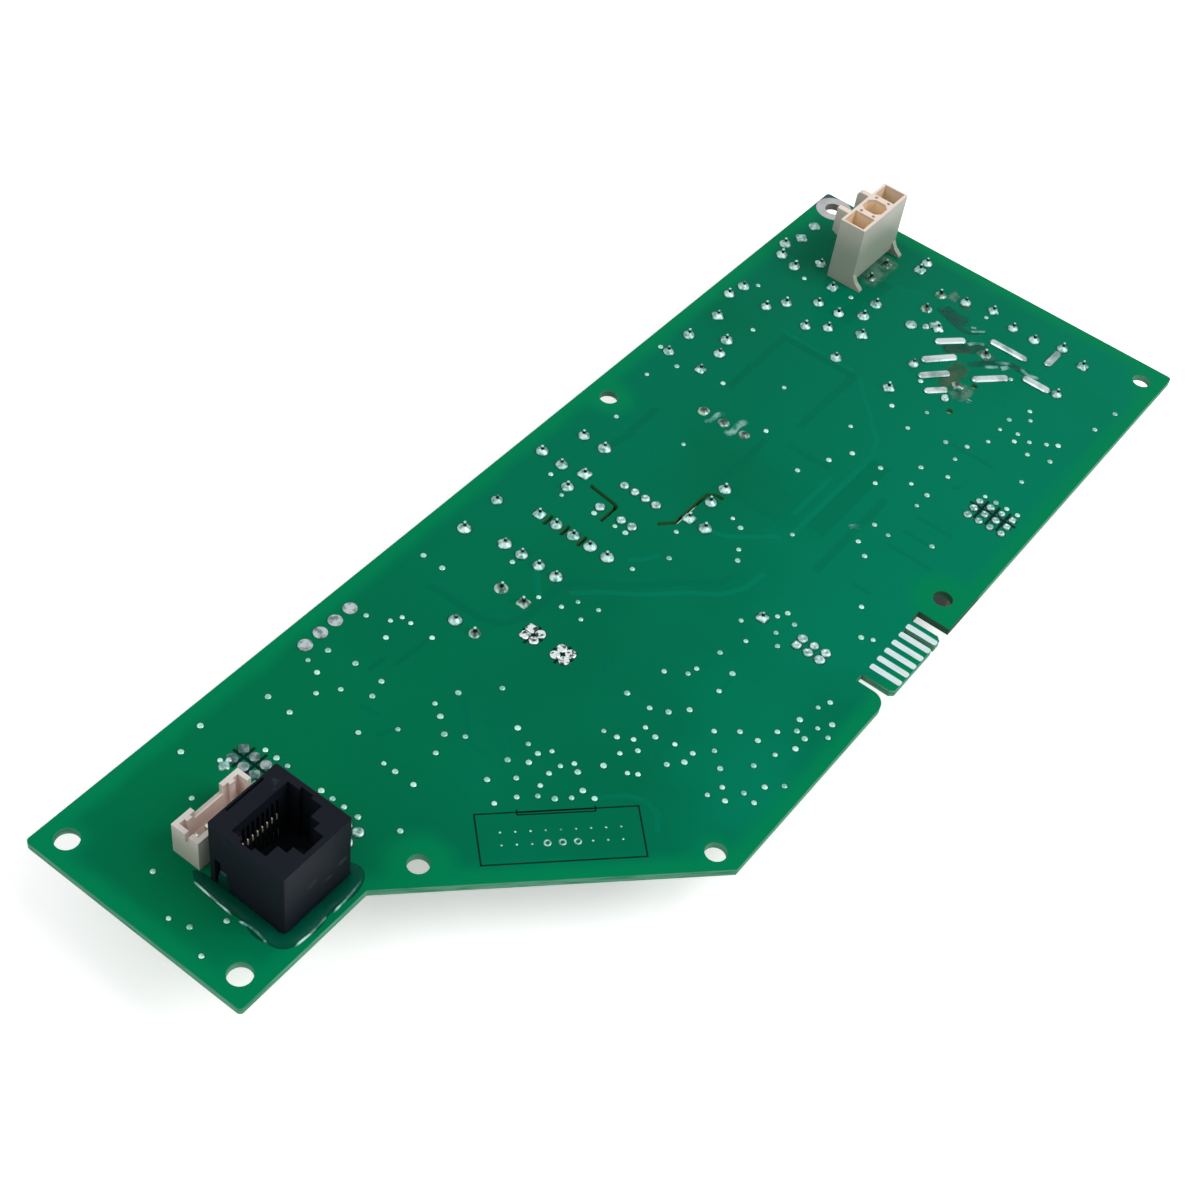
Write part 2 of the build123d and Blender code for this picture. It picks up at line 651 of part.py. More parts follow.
with BuildPart() as transformer_core:
    with Locations((*transformer_centre, core_bottom)):
        Box(core_depth, core_width, core_height, align=STAND)
    with Locations(*[(transformer_centre[0], transformer_centre[1]
                      + s * (core_width / 2 - core_leg + centre_leg / 2) / 2,
                      core_bottom + core_yoke) for s in (1, -1)]):
        Box(core_depth, core_width / 2 - core_leg - centre_leg / 2, window_height, align=STAND,
            mode=Mode.SUBTRACT)
save(transformer_core, "transformer_core")

with BuildPart() as transformer_bobbin:
    # top and bottom flanges in the core's windows, joined by a sleeve round the centre leg
    with Locations((*transformer_centre, window_top)):
        Box(winding_depth + 1.4, winding_span, flange, align=HANG)
    with Locations((*transformer_centre, window_top - window_height)):
        Box(winding_depth, winding_span, flange, align=STAND)
    with Locations((*transformer_centre, window_top - window_height)):
        Box(core_depth + 2 * bobbin_wall, centre_leg + 2 * bobbin_wall, window_height, align=STAND)
    # pin rails on both sides, seated on the board
    rail_depth = (winding_depth + 2.6 - core_depth) / 2 - 0.2
    for s in (1, -1):
        with Locations((transformer_centre[0] + s * (core_depth / 2 + 0.2 + rail_depth / 2),
                        transformer_centre[1], board_bottom)):
            Box(rail_depth, core_width + 2 * rail_overhang, board_bottom - window_top + flange, align=HANG)
    with Locations((*transformer_centre, core_bottom)):
        Box(core_depth + 0.1, centre_leg + 0.1, core_height, align=STAND, mode=Mode.SUBTRACT)
save(transformer_bobbin, "transformer_bobbin")

with BuildPart() as transformer_winding:
    with BuildSketch(Plane.XY.offset(window_top - flange)):
        with Locations(transformer_centre):
            RectangleRounded(winding_depth - 0.4, winding_span - 0.4, 2.4)
            Rectangle(core_depth + 2 * bobbin_wall, centre_leg + 2 * bobbin_wall, mode=Mode.SUBTRACT)
    extrude(amount=2 * flange - window_height)
save(transformer_winding, "transformer_winding")

# ---------------------------------------------------------------- line choke
choke_height = 14.5
choke_base = 1.8
choke_core = 3.6              # square section of the ferrite loop
choke_leg_gap = 9.4           # between leg centres
choke_coil_radius = 4.4
choke_loop_width = choke_leg_gap + choke_core
coil_length = choke_height - choke_base - 2 * choke_core

with BuildPart() as choke_base_plate:
    with Locations((*choke_centre, board_bottom)):
        Box(choke_across + 3.2, choke_along + 3.2, choke_base, align=HANG)
save(choke_base_plate, "choke_base_plate")

with BuildPart() as choke_loop:
    with Locations((*choke_centre, board_bottom - choke_base)):
        Box(choke_core, choke_loop_width, choke_height - choke_base, align=HANG)
    with Locations((*choke_centre, board_bottom - choke_base - choke_core)):
        Box(choke_core, choke_leg_gap - choke_core, coil_length, align=HANG, mode=Mode.SUBTRACT)
save(choke_loop, "choke_loop")

choke_leg_places = [(choke_centre[0], choke_centre[1] + s * choke_leg_gap / 2,
                     board_bottom - choke_base - choke_core) for s in (1, -1)]
with BuildPart() as choke_coils:
    with Locations(*choke_leg_places):
        Cylinder(choke_coil_radius, coil_length, align=HANG)
        Box(choke_core, choke_core, coil_length, align=HANG, mode=Mode.SUBTRACT)
save(choke_coils, "choke_coils")

# ---------------------------------------------------------------- two-lead parts
stand_off = 0.6               # gap between a part's seat and the board
seat = board_bottom - stand_off
cans = [(bulk_can, 6.2, bulk_can_height - stand_off), (output_can, 4.6, 12.0),
        (supply_can, 4.6, 13.0), (small_can, 4.0, 11.0)]
groove = 0.3

with BuildPart() as electrolytic_cans:
    for pair, radius, height in cans:
        centre, turn = middle(pair)
        with BuildSketch(Plane(origin=(*centre, seat), x_dir=(1, 0, 0), z_dir=(0, -1, 0))):
            Polygon((0, 0), (radius, 0), (radius, -1.4), (radius - groove, -1.9), (radius, -2.4),
                    (radius, -height + 0.5), (radius - 0.5, -height), (0, -height), align=None)
        revolve(axis=Axis((*centre, 0), (0, 0, 1)))
save(electrolytic_cans, "electrolytic_cans")

# upright dipped discs: leads, diameter, thickness
discs = [(safety_disc, 10.5, 3.6), (varistor, 9.0, 3.4), (thermistor, 9.5, 3.6)]
with BuildPart() as dipped_discs:
    for pair, diameter, thickness in discs:
        centre, turn = middle(pair)
        across = (sin(radians(turn)), -cos(radians(turn)), 0)
        along = (cos(radians(turn)), sin(radians(turn)), 0)
        face = Plane(origin=(*centre, seat - diameter / 2), x_dir=along, z_dir=across)
        with BuildSketch(face):
            Circle(diameter / 2 - thickness * 0.25)
        extrude(amount=thickness / 2, both=True)
        with BuildSketch(face):
            Circle(diameter / 2)
        extrude(amount=thickness / 4, both=True)
        # the coating runs a little way along both leads
        with at(pair, seat):
            Cylinder(wire_radius + 0.3, diameter / 2, align=HANG)
save(dipped_discs, "dipped_discs")

ceramic_height = 5.0
with BuildPart() as small_ceramics:
    for pair in ceramics:
        centre, turn = middle(pair)
        length = hypot(pair[1][0] - pair[0][0], pair[1][1] - pair[0][1]) + 1.4
        with BuildSketch(Plane.XY.offset(seat)):
            with Locations(Location(centre, turn)):
                SlotOverall(length, 2.4)
        extrude(amount=-ceramic_height)
save(small_ceramics, "small_ceramics")

film_width = 5.6
film_margin = 1.5
with BuildPart() as film_capacitors:
    for pair, height in ((film_caps[0], 11.5), (film_caps[1], 11.5), (snubber_cap, 10.0)):
        centre, turn = middle(pair)
        length = hypot(pair[1][0] - pair[0][0], pair[1][1] - pair[0][1]) + 2 * film_margin
        with BuildSketch(Plane.XY.offset(seat)):
            with Locations(Location(centre, turn)):
                RectangleRounded(length, film_width, 0.5)
        extrude(amount=-height)
save(film_capacitors, "film_capacitors")

drum_centre = middle(drum_choke)[0]
drum_radius = 3.9
drum_waist = 2.0
drum_flange = 1.2
drum_height = 9.5
coil_radius = 3.6
coil_height = drum_height - 2 * drum_flange
with BuildPart() as drum_choke_core:
    with Locations((*drum_centre, seat), (*drum_centre, seat - drum_height + drum_flange)):
        Cylinder(drum_radius, drum_flange, align=HANG)
    with Locations((*drum_centre, seat)):
        Cylinder(drum_waist, drum_height, align=HANG)
save(drum_choke_core, "drum_choke_core")

with BuildPart() as drum_choke_winding:
    with Locations((*drum_centre, seat - drum_flange)):
        Cylinder(coil_radius, coil_height, align=HANG)
        Cylinder(drum_waist, coil_height, align=HANG, mode=Mode.SUBTRACT)
save(drum_choke_winding, "drum_choke_winding")

fuse_radius = 4.2
fuse_height = 7.5
with BuildPart() as fuse_body:
    with Locations((*middle(fuse)[0], seat)):
        Cylinder(fuse_radius, fuse_height, align=HANG)
save(fuse_body, "fuse_body")

# Stiff round pins of the relays, the transformer and the line choke.
with BuildPart() as frame_pins:
    with at(frame_points, board_bottom):
        Cylinder(wire_radius, board_thickness, align=STAND)
save(frame_pins, "frame_pins")

with BuildPart() as wire_leads:
    with at(wire_points, seat):
        Cylinder(wire_radius, board_top - seat, align=STAND)
save(wire_leads, "wire_leads")

# ---------------------------------------------------------------- headers on the component face
shroud_wall = 1.0
shroud_floor = 2.0
pin_clear = 1.5               # pins stop this far inside the mouth
harness_margin = 3.2          # outermost pins to the outside of each shroud
sensor_margin = 2.6
heater_margin = 3.6
pump_margin = 3.8


def shroud_size(columns, across, rows, along, margin):
    """Outer size of a shroud round a pin grid."""
    return (columns - 1) * across + 2 * margin, (rows - 1) * along + 2 * margin


harness_size = shroud_size(2, harness_pitch, harness_rows, header_pitch, harness_margin)
sensor_size = shroud_size(3, sensor_pitch, 4, header_pitch, sensor_margin)
heater_size = shroud_size(1, 0, 3, heater_pitch, heater_margin)
pump_size = shroud_size(2, pump_pitch, 1, 0, pump_margin)
headers = {
    "harness_header": (harness_centre, harness_size, 9.0, harness_pins, []),
    "sensor_header": (sensor_centre, sensor_size, 7.5, sensor_pins, []),
    "heater_header": (heater_centre, heater_size, 11.0, heater_pins, []),
    "pump_header": (pump_centre, pump_size, 11.0, pump_pins, peg_holes),
}
for name, (centre, (size_x, size_y), height, pins, pegs) in headers.items():
    with BuildPart() as housing:
        with BuildSketch(UNDER):
            with Locations(centre):
                RectangleRounded(size_x, size_y, 0.4)
        extrude(amount=-height)
        with BuildSketch(UNDER.offset(-height)):
            with Locations(centre):
                Rectangle(size_x - 2 * shroud_wall, size_y - 2 * shroud_wall)
        extrude(amount=height - shroud_floor, mode=Mode.SUBTRACT)
        # key slot through one wall
        with Locations((centre[0] - size_x / 2, centre[1], board_bottom - height)):
            Box(4 * shroud_wall, 4.0, height, mode=Mode.SUBTRACT)
        with at(pins, board_bottom):
            Box(pin_size, pin_size, 3 * shroud_floor, mode=Mode.SUBTRACT)
        # moulded pegs in their own holes
        for x, y in pegs:
            with Locations((x, y, board_bottom - shroud_floor)):
                Cylinder(peg_radius - drill_gap, shroud_floor + peg_reach, align=STAND)
    save(housing, name)
    with BuildPart() as header_pins:
        with at(pins, board_bottom - height + pin_clear):
            Box(pin_size, pin_size, height - pin_clear + board_thickness, align=STAND)
    save(header_pins, name + "_pins")

strip_height = 2.5
strip_reach = 6.0             # pins below the strip
with BuildPart() as program_strip:
    with Locations((*program_centre, board_bottom)):
        Box(2 * program_pitch + 0.2, 3 * header_pitch, strip_height, align=HANG)
    with at(program_pins, board_bottom):
        Box(pin_size, pin_size, 3 * strip_height, mode=Mode.SUBTRACT)
save(program_strip, "program_strip")

with BuildPart() as program_strip_pins:
    with at(program_pins, board_bottom - strip_height - strip_reach):
        Box(pin_size, pin_size, strip_height + strip_reach + board_thickness, align=STAND)
save(program_strip_pins, "program_strip_pins")

# ---------------------------------------------------------------- leads of the jack
with BuildPart() as jack_leads:
    with at(jack_pins, board_bottom):
        Box(pin_size, pin_size, board_thickness, align=STAND)
save(jack_leads, "jack_leads")

# ---------------------------------------------------------------- power switch
switch_body = (6.3, 9.6, 3.3)
switch_stand = 0.5
leg_thickness = 0.3
switch_leg_drop = switch_stand + switch_body[2] / 2
with BuildPart() as power_switch:
    with Locations((*switch_centre, board_bottom - switch_stand)):
        Box(*switch_body, align=HANG)
    # moulded index notch at the far end
    with Locations((switch_centre[0], switch_centre[1] + switch_body[1] / 2,
                    board_bottom - switch_stand - switch_body[2])):
        Cylinder(0.8, 1.0, mode=Mode.SUBTRACT)
save(power_switch, "power_switch")

with BuildPart() as power_switch_legs:
    with at(switch_pins, board_bottom - switch_leg_drop):
        Box(pin_size, pin_size, switch_leg_drop + board_thickness, align=STAND)
    for x, y in switch_pins:
        side = 1 if x > switch_centre[0] else -1
        root = switch_centre[0] + side * switch_body[0] / 2
        with Locations(((x + root) / 2, y, board_bottom - switch_leg_drop)):
            Box(abs(x - root), 2 * pin_size, leg_thickness, align=STAND)
save(power_switch_legs, "power_switch_legs")

# ---------------------------------------------------------------- surface-mounted parts
# Chips on gull-wing legs: centre, body, leg pitch and the legs on the side and end walls.
chip_stand = 0.15
leg_plate = 0.2
foot_length_out = 1.0
chips = {
    "microcontroller": (controller_centre, (10.0, 10.0, 1.4), 0.8, 11, 11),
    "driver_chip": (driver_centre, (6.0, 10.4, 2.0), 1.27, 8, 0),
    "memory_chip": (memory_centre, (3.9, 4.9, 1.5), 1.27, 4, 0),
}
for name, (centre, (body_x, body_y, body_z), pitch, side_legs, end_legs) in chips.items():
    with BuildPart() as chip:
        with Locations((*centre, board_bottom - chip_stand)):
            Box(body_x, body_y, body_z, align=HANG)
        chamfer(chip.faces().sort_by(Axis.Z)[0].edges(), 0.2)
    save(chip, name)
    mid = chip_stand + body_z / 2
    with BuildPart() as chip_legs:
        for turn, count, reach in ((0, side_legs, body_x / 2), (180, side_legs, body_x / 2),
                                   (90, end_legs, body_y / 2), (270, end_legs, body_y / 2)):
            for x, y in spots(centre, [(reach, (i - (count - 1) / 2) * pitch) for i in range(count)],
                              turn):
                out = (cos(radians(turn)), sin(radians(turn)), 0)
                face = Plane(origin=(x, y, board_bottom), x_dir=out, z_dir=(out[1], -out[0], 0))
                with BuildSketch(face):
                    Polygon((0, -mid), (0, -mid - leg_plate), (0.5, -leg_plate),
                            (foot_length_out, -leg_plate), (foot_length_out, 0), (0.4, 0),
                            align=None)
                extrude(amount=pitch * 0.2, both=True)
    save(chip_legs, name + "_legs")

with BuildPart() as optocouplers:
    with at(optocoupler_places, board_bottom - chip_stand):
        Box(*optocoupler_body, align=HANG)
save(optocouplers, "optocouplers")

with BuildPart() as optocoupler_legs:
    for x, y in optocoupler_places:
        with Locations(*[(x + u, y + s * (optocoupler_body[1] / 2 + 0.5), board_bottom)
                         for u in (-1.27, 1.27) for s in (1, -1)]):
            Box(0.5, 1.0, optocoupler_body[2] / 2, align=HANG)
save(optocoupler_legs, "optocoupler_legs")

# Regulator whose metal tab lies flat on the board over the thermal pads.
tab_plate = 0.5
regulator_size = (6.5, 6.1, 1.8)
with BuildPart() as regulator_tab:
    with Locations((*regulator_centre, board_bottom)):
        Box(5.2, 8.6, tab_plate, align=HANG)
save(regulator_tab, "regulator_tab")

with BuildPart() as regulator_body:
    with Locations((regulator_centre[0], regulator_centre[1] - 1.0, board_bottom - tab_plate)):
        Box(*regulator_size, align=HANG)
save(regulator_body, "regulator_body")

with BuildPart() as power_inductor:
    with Locations((*inductor_centre, board_bottom)):
        Box(*inductor_body, align=HANG)
    chamfer(power_inductor.edges().filter_by(Axis.Z), 1.4)
save(power_inductor, "power_inductor")

with BuildPart() as crystal:
    with BuildSketch(UNDER):
        with Locations(crystal_centre):
            SlotOverall(11.0, 4.6)
    extrude(amount=-3.5)
save(crystal, "crystal")

with BuildPart() as chip_resistors:
    with at(resistor_places, board_bottom):
        Box(2.0, 1.25, 0.5, align=HANG)
save(chip_resistors, "chip_resistors")

with BuildPart() as chip_capacitors:
    with at(capacitor_places, board_bottom):
        Box(1.25, 2.0, 1.0, align=HANG)
save(chip_capacitors, "chip_capacitors")
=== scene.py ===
"""Dishwasher control board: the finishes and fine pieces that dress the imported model.

Lengths are written in millimetres and turned to metres by mm.  The board's own measure is used
throughout: x from the narrow tail end, y from the long edge with the fingers, z from the floor."""

import bmesh
import bpy
import numpy as np
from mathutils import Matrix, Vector


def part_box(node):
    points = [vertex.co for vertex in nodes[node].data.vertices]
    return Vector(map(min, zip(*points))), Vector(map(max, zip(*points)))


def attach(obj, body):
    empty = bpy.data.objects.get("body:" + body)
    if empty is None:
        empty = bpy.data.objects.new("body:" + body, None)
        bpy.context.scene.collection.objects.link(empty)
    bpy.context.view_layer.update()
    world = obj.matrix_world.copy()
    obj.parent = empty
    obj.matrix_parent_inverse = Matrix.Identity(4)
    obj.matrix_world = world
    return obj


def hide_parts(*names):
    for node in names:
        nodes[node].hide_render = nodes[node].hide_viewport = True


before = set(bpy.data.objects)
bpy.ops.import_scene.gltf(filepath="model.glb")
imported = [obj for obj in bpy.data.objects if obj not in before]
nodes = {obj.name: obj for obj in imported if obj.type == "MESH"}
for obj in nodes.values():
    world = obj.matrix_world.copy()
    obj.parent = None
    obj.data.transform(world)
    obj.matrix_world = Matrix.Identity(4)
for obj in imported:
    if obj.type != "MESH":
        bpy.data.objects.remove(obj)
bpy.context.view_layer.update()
mm = 0.001

# ------------------------------------------------------------------------------ laminate
# Glass-fibre laminate, green varnish on both faces over copper.  The copper stops short of the
# outline and of the fixing holes, so a paler margin shows there, and the sawn edge is bare.
board_low, board_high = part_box("board")
corner_x, corner_y = board_low.x, board_low.y
face_z = board_high.z
back_z = board_low.z


def spot(x, y, z=0.0):
    """A place on the board's upper face, from its tail end and its finger edge, in metres."""
    return np.array([corner_x + x * mm, corner_y + y * mm, face_z + z * mm])


class Socket:
    """An output of a shader node.  Python arithmetic on it adds Math nodes."""

    def __init__(self, finish, output):
        self.finish = finish
        self.output = output

    def math(self, operation, *values):
        return self.finish.node("ShaderNodeMath", {"operation": operation},
                                dict(enumerate((self, *values))))

    def __add__(self, other):
        return self.math("ADD", other)

    def __sub__(self, other):
        return self.math("SUBTRACT", other)

    def __rsub__(self, other):
        return self.finish.node("ShaderNodeMath", {"operation": "SUBTRACT"}, {0: other, 1: self})

    def __mul__(self, other):
        return self.math("MULTIPLY", other)

    def __truediv__(self, other):
        return self.math("DIVIDE", other)

    __radd__ = __add__
    __rmul__ = __mul__

    def least(self, other):
        return self.math("MINIMUM", other)

    def most(self, other):
        return self.math("MAXIMUM", other)

    def step(self, low, high):
        """0 at low, 1 at high, smooth between; low may be the larger."""
        settings = {"interpolation_type": "SMOOTHSTEP"}
        return self.finish.node("ShaderNodeMapRange", settings,
                                {"Value": self, "From Min": low, "From Max": high}, "Result")


class Finish:
    """A material in the making.  node() adds every node, and wear() fills the shader's sockets."""

    def __init__(self, name, **sockets):
        self.material = bpy.data.materials.new(name)
        self.material.use_nodes = True
        self.tree = self.material.node_tree
        self.shader = self.tree.nodes["Principled BSDF"]
        self.place = self.node("ShaderNodeTexCoord", output="Object")
        self.wear(**sockets)

    def node(self, kind, settings=None, sockets=None, output=0):
        made = self.tree.nodes.new(kind)
        for key, value in (settings or {}).items():
            setattr(made, key, value)
        self.fill(made, sockets or {})
        return Socket(self, made.outputs[output])

    def fill(self, made, sockets):
        for key, value in sockets.items():
            if isinstance(value, Socket):
                self.tree.links.new(value.output, made.inputs[key])
            else:
                made.inputs[key].default_value = value

    def wear(self, **sockets):
        self.fill(self.shader, {key.replace("_", " "): value for key, value in sockets.items()})

    def mix(self, first, second, share):
        """Colour between two colours."""
        return self.node("ShaderNodeMix", {"data_type": "RGBA"}, {0: share, 6: first, 7: second}, 2)

    def paint(self, first, second, share, **sockets):
        """Base colour between two colours, and any other sockets."""
        self.wear(Base_Color=self.mix(first, second, share), **sockets)

    def noise(self, scale, detail=3.0, stretch=(1, 1, 1), roughness=0.5):
        """Cloudy values about 0.5; scale counts features in a metre."""
        place = self.node("ShaderNodeVectorMath", {"operation": "MULTIPLY"},
                          {0: self.place, 1: stretch})
        return self.node("ShaderNodeTexNoise", None, {"Vector": place, "Scale": scale,
                                                      "Detail": detail, "Roughness": roughness})

    def parts(self, vector):
        """The three parts of a vector."""
        made = self.node("ShaderNodeSeparateXYZ", None, {0: vector}).output.node
        return [Socket(self, made.outputs[i]) for i in range(3)]

    def axes(self):
        """The three coordinates of a point on the piece, in metres."""
        return self.parts(self.place)

    def bump(self, height, depth, strength=1.0):
        """Relief of the given depth in metres, felt by the light alone."""
        relief = self.node("ShaderNodeBump", None, {"Height": height, "Distance": depth,
                                                    "Strength": strength})
        self.wear(Normal=relief)


def dress(finish, *names):
    """Gives CAD nodes a finished material."""
    for name in names:
        for holder in nodes[name].material_slots:
            holder.material = finish.material


varnish_green = (0.0, 0.166, 0.087, 1)
varnish_deep = (0.0, 0.147, 0.069, 1)
varnish_tail = (0.0, 0.164, 0.064, 1)
# painted light: a paler green for the finger edge
varnish_painted_lit = (0.0, 0.200, 0.108, 1)
bare_green = (0.0, 0.215, 0.085, 1)
# painted shade inside lead holes and routed slots
hole_wall_shade = (0.04, 0.20, 0.07, 1)
sawn_edge = (0.13, 0.36, 0.23, 1)
sawn_dark = (0.04, 0.24, 0.14, 1)
plated_grey = (0.20, 0.21, 0.20, 1)
stripped_corner = (0.055, 0.115, 0.125, 1)
margin = 2.6                    # copper to outline
tail_reach = 28.4               # straight edge of the tail, before the slant
tail_edge = 43.0                # that edge, from the finger edge
dark_fill_span = (138.5, 154.0)  # along the board, the slot and the hole beside the fingers
dark_fill_depth = 10.0
plated_reach = 13.5             # of the earth hole's wall, from the corner, along plus across
corner_reach = 7.4
# each fixing hole, and how far from its middle the copper starts
fixing_holes = [(4.5, 47.4, 3.0), (4.5, 84.9, 3.0), (37.6, 40.1, 6.0), (71.9, 4.7, 3.0),
                (148.1, 84.6, 5.0), (148.1, 4.9, 6.5), (233.4, 4.6, 3.0), (234.85, 85.25, 3.0)]

laminate = Finish("green_varnish", Roughness=0.34, Specular_IOR_Level=0.02)
x, y, z = laminate.axes()
along = (x - corner_x) / mm
across = (y - corner_y) / mm
length, width = [(high - low) / mm for low, high in zip(board_low[:2], board_high[:2])]
slant = (along + across - (tail_reach + tail_edge)) * 0.7071
tail_side = (across - tail_edge).most(slant)
to_edge = along.least(length - along).least(across).least(width - across).least(tail_side)
to_hole = to_halo = None
for hole_x, hole_y, halo in fixing_holes:
    gap = laminate.node("ShaderNodeVectorMath", {"operation": "DISTANCE"},
                        {0: laminate.node("ShaderNodeCombineXYZ", None, {0: along, 1: across}),
                         1: (hole_x, hole_y, 0)}, "Value")
    to_hole = gap if to_hole is None else to_hole.least(gap)
    to_halo = gap - halo if to_halo is None else to_halo.least(gap - halo)
ripple = laminate.noise(160, 2) * 1.6 - 0.8
copper = (to_edge + ripple).step(margin - 1.6, margin + 2.2) * (to_halo + ripple).step(-2.5, 2.0)
clouds = laminate.noise(22, 3)
green = laminate.mix(varnish_tail, varnish_green, (along / length).step(0.0, 0.75))
# painted light: towards the finger edge the green is painted paler, as light falling there
green = laminate.mix(green, varnish_painted_lit, (across / width).step(0.75, 0.0) * 0.8)
green = laminate.mix(varnish_deep, green, clouds.step(0.3, 0.6))
green = laminate.mix(bare_green, green, copper)
height = z / mm
wall = (height - back_z / mm - 0.04).step(0, 0.02) * (face_z / mm - 0.04 - height).step(0, 0.02)
fibre = laminate.noise(900, 2, (0.2, 0.2, 3))
edge_tone = laminate.mix(sawn_edge, sawn_dark, fibre.step(0.4, 0.7))
# painted shade: lead holes and routed slots, away from outline and fixing holes, are painted dark
# inside
inside = to_edge.step(0.6, 1.0) * to_hole.step(2.6, 3.0) * across.step(7.0, 7.4)
edge_tone = laminate.mix(edge_tone, hole_wall_shade, inside)
# the hole and the slot beside the fingers are darker inside
dark_fill = (along - dark_fill_span[0]).least(dark_fill_span[1] - along)
dark_fill = dark_fill.least(dark_fill_depth - across).step(0, 0.5)
dark_fill_tone = laminate.mix((0.004, 0.045, 0.022, 1), (0.06, 0.16, 0.09, 1), fibre)
edge_tone = laminate.mix(edge_tone, dark_fill_tone, dark_fill)
# the earth hole is plated through, and the corner outside its ring has lost its varnish
from_corner = (length - along) + (width - across)
edge_tone = laminate.mix(edge_tone, plated_grey,
                         from_corner.step(plated_reach, plated_reach - 0.5))
green = laminate.mix(green, stripped_corner, from_corner.step(corner_reach, corner_reach - 0.8))
laminate.paint(green, edge_tone, wall,
               Roughness=laminate.noise(300, 2) * 0.14 + 0.22 + wall * 0.4)
laminate.bump(laminate.noise(260, 4) * 0.5 + laminate.noise(2500, 2) * 0.12, 0.05 * mm, 0.35)
dress(laminate, "board")

# ------------------------------------------------------------------------------ tracks
# Copper tracks under the varnish: flat ribbons that stand a few hundredths above the face, in
# runs with mitred turns.  The varnish over them is the same green, a little deeper.


def patches(name, grids):
    """Mesh of several closed surfaces, grids[k, i, j]: the j-th point of the i-th ring of
    patch k, whose last point joins its first.  Points that meet are merged.  The uv map runs
    from 0 to 1, u round each ring and v from ring to ring."""
    count, rows, points, _ = grids.shape
    i, j = [index.ravel() for index in np.meshgrid(range(rows - 1), range(points), indexing="ij")]
    here = i * points + j
    beside = i * points + (j + 1) % points
    quads = np.stack([here, beside, beside + points, here + points], axis=1)
    quads = quads[None] + (np.arange(count) * rows * points)[:, None, None]
    mesh = bpy.data.meshes.new(name)
    mesh.from_pydata(grids.reshape(-1, 3).tolist(), [], quads.reshape(-1, 4).tolist())
    u = np.stack([j, j + 1, j + 1, j], axis=1) / points
    v = np.stack([i, i, i + 1, i + 1], axis=1) / (rows - 1)
    run_map = np.tile(np.stack([u, v], 2).ravel(), count)
    mesh.uv_layers.new(name="run").data.foreach_set("uv", run_map)
    cleaner = bmesh.new()
    cleaner.from_mesh(mesh)
    bmesh.ops.remove_doubles(cleaner, verts=cleaner.verts, dist=1e-7)
    bmesh.ops.recalc_face_normals(cleaner, faces=cleaner.faces)
    cleaner.to_mesh(mesh)
    cleaner.free()
    piece = bpy.data.objects.new(name, mesh)
    bpy.context.scene.collection.objects.link(piece)
    return piece


def place(piece, finish, slot, smooth=True, hides=()):
    """Material, smoothing and body of a new piece; its slot is not used."""
    piece.data.materials.append(finish.material)
    piece.data.polygons.foreach_set("use_smooth", [smooth] * len(piece.data.polygons))
    if smooth:
        piece.data.set_sharp_from_angle(angle=0.7)
    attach(piece, "root")
    if hides:
        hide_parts(*hides)
    return piece


def ribbon(path, breadth, rise, level=0.0):
    """Flat strip along a path of (x, y): at each point the profile, a low trapezium, lies on the
    bisector of the two runs and is stretched by one over the cosine of half the turn."""
    path = np.array(path, float)
    run = np.diff(path, axis=0)
    run /= np.linalg.norm(run, axis=1)[:, None]
    before = np.vstack([run[:1], run])
    after = np.vstack([run, run[-1:]])
    side = before + after
    side /= np.linalg.norm(side, axis=1)[:, None]
    stretch = 1 / np.maximum(np.sum(side * after, axis=1), 0.4)
    side = np.stack([-side[:, 1], side[:, 0]], axis=1) * stretch[:, None]
    offsets = np.array([-0.5, -0.42, 0.42, 0.5]) * breadth
    rises = np.array([0, rise, rise, 0]) + level
    flat = path[:, None] + side[:, None] * offsets[None, :, None]
    heights = np.broadcast_to(rises, flat.shape[:2])
    points = np.concatenate([flat, heights[..., None]], axis=2)
    ends = [np.repeat(points[i].mean(axis=0)[None], 4, axis=0) for i in (0, -1)]
    ends[0][:, 2] = ends[1][:, 2] = level
    return spot(0, 0) + np.concatenate([ends[0][None], points, ends[1][None]]) * mm


def joined(name, grids):
    """One piece of several closed surfaces that differ in their number of rings."""
    made = [patches(name, grid[None]) for grid in grids]
    with bpy.context.temp_override(active_object=made[0], selected_editable_objects=made):
        bpy.ops.object.join()
    return made[0]


def runs(name, paths, breadth, rise, finish, slot, level=0.0):
    """One piece made of ribbons, each of its own length."""
    strips = [ribbon(path, breadth, rise, level) for path in paths]
    return place(joined(name, strips), finish, slot, smooth=False)


def varnish_over(name, dark, light, near):
    """Varnish in the tone it takes over copper, or over the bare glass between coppers; like the
    board's it is painted paler towards the finger edge, as painted light."""
    made = Finish(name, Roughness=0.3, Specular_IOR_Level=0.02)
    tone = made.mix(dark, light, made.noise(40).step(0.3, 0.7))
    from_fingers = (made.axes()[1] - corner_y) / mm / width
    made.paint(tone, near, from_fingers.step(0.75, 0.0) * 0.8)
    made.bump(made.noise(900, 3), 0.02 * mm, 0.3)
    return made
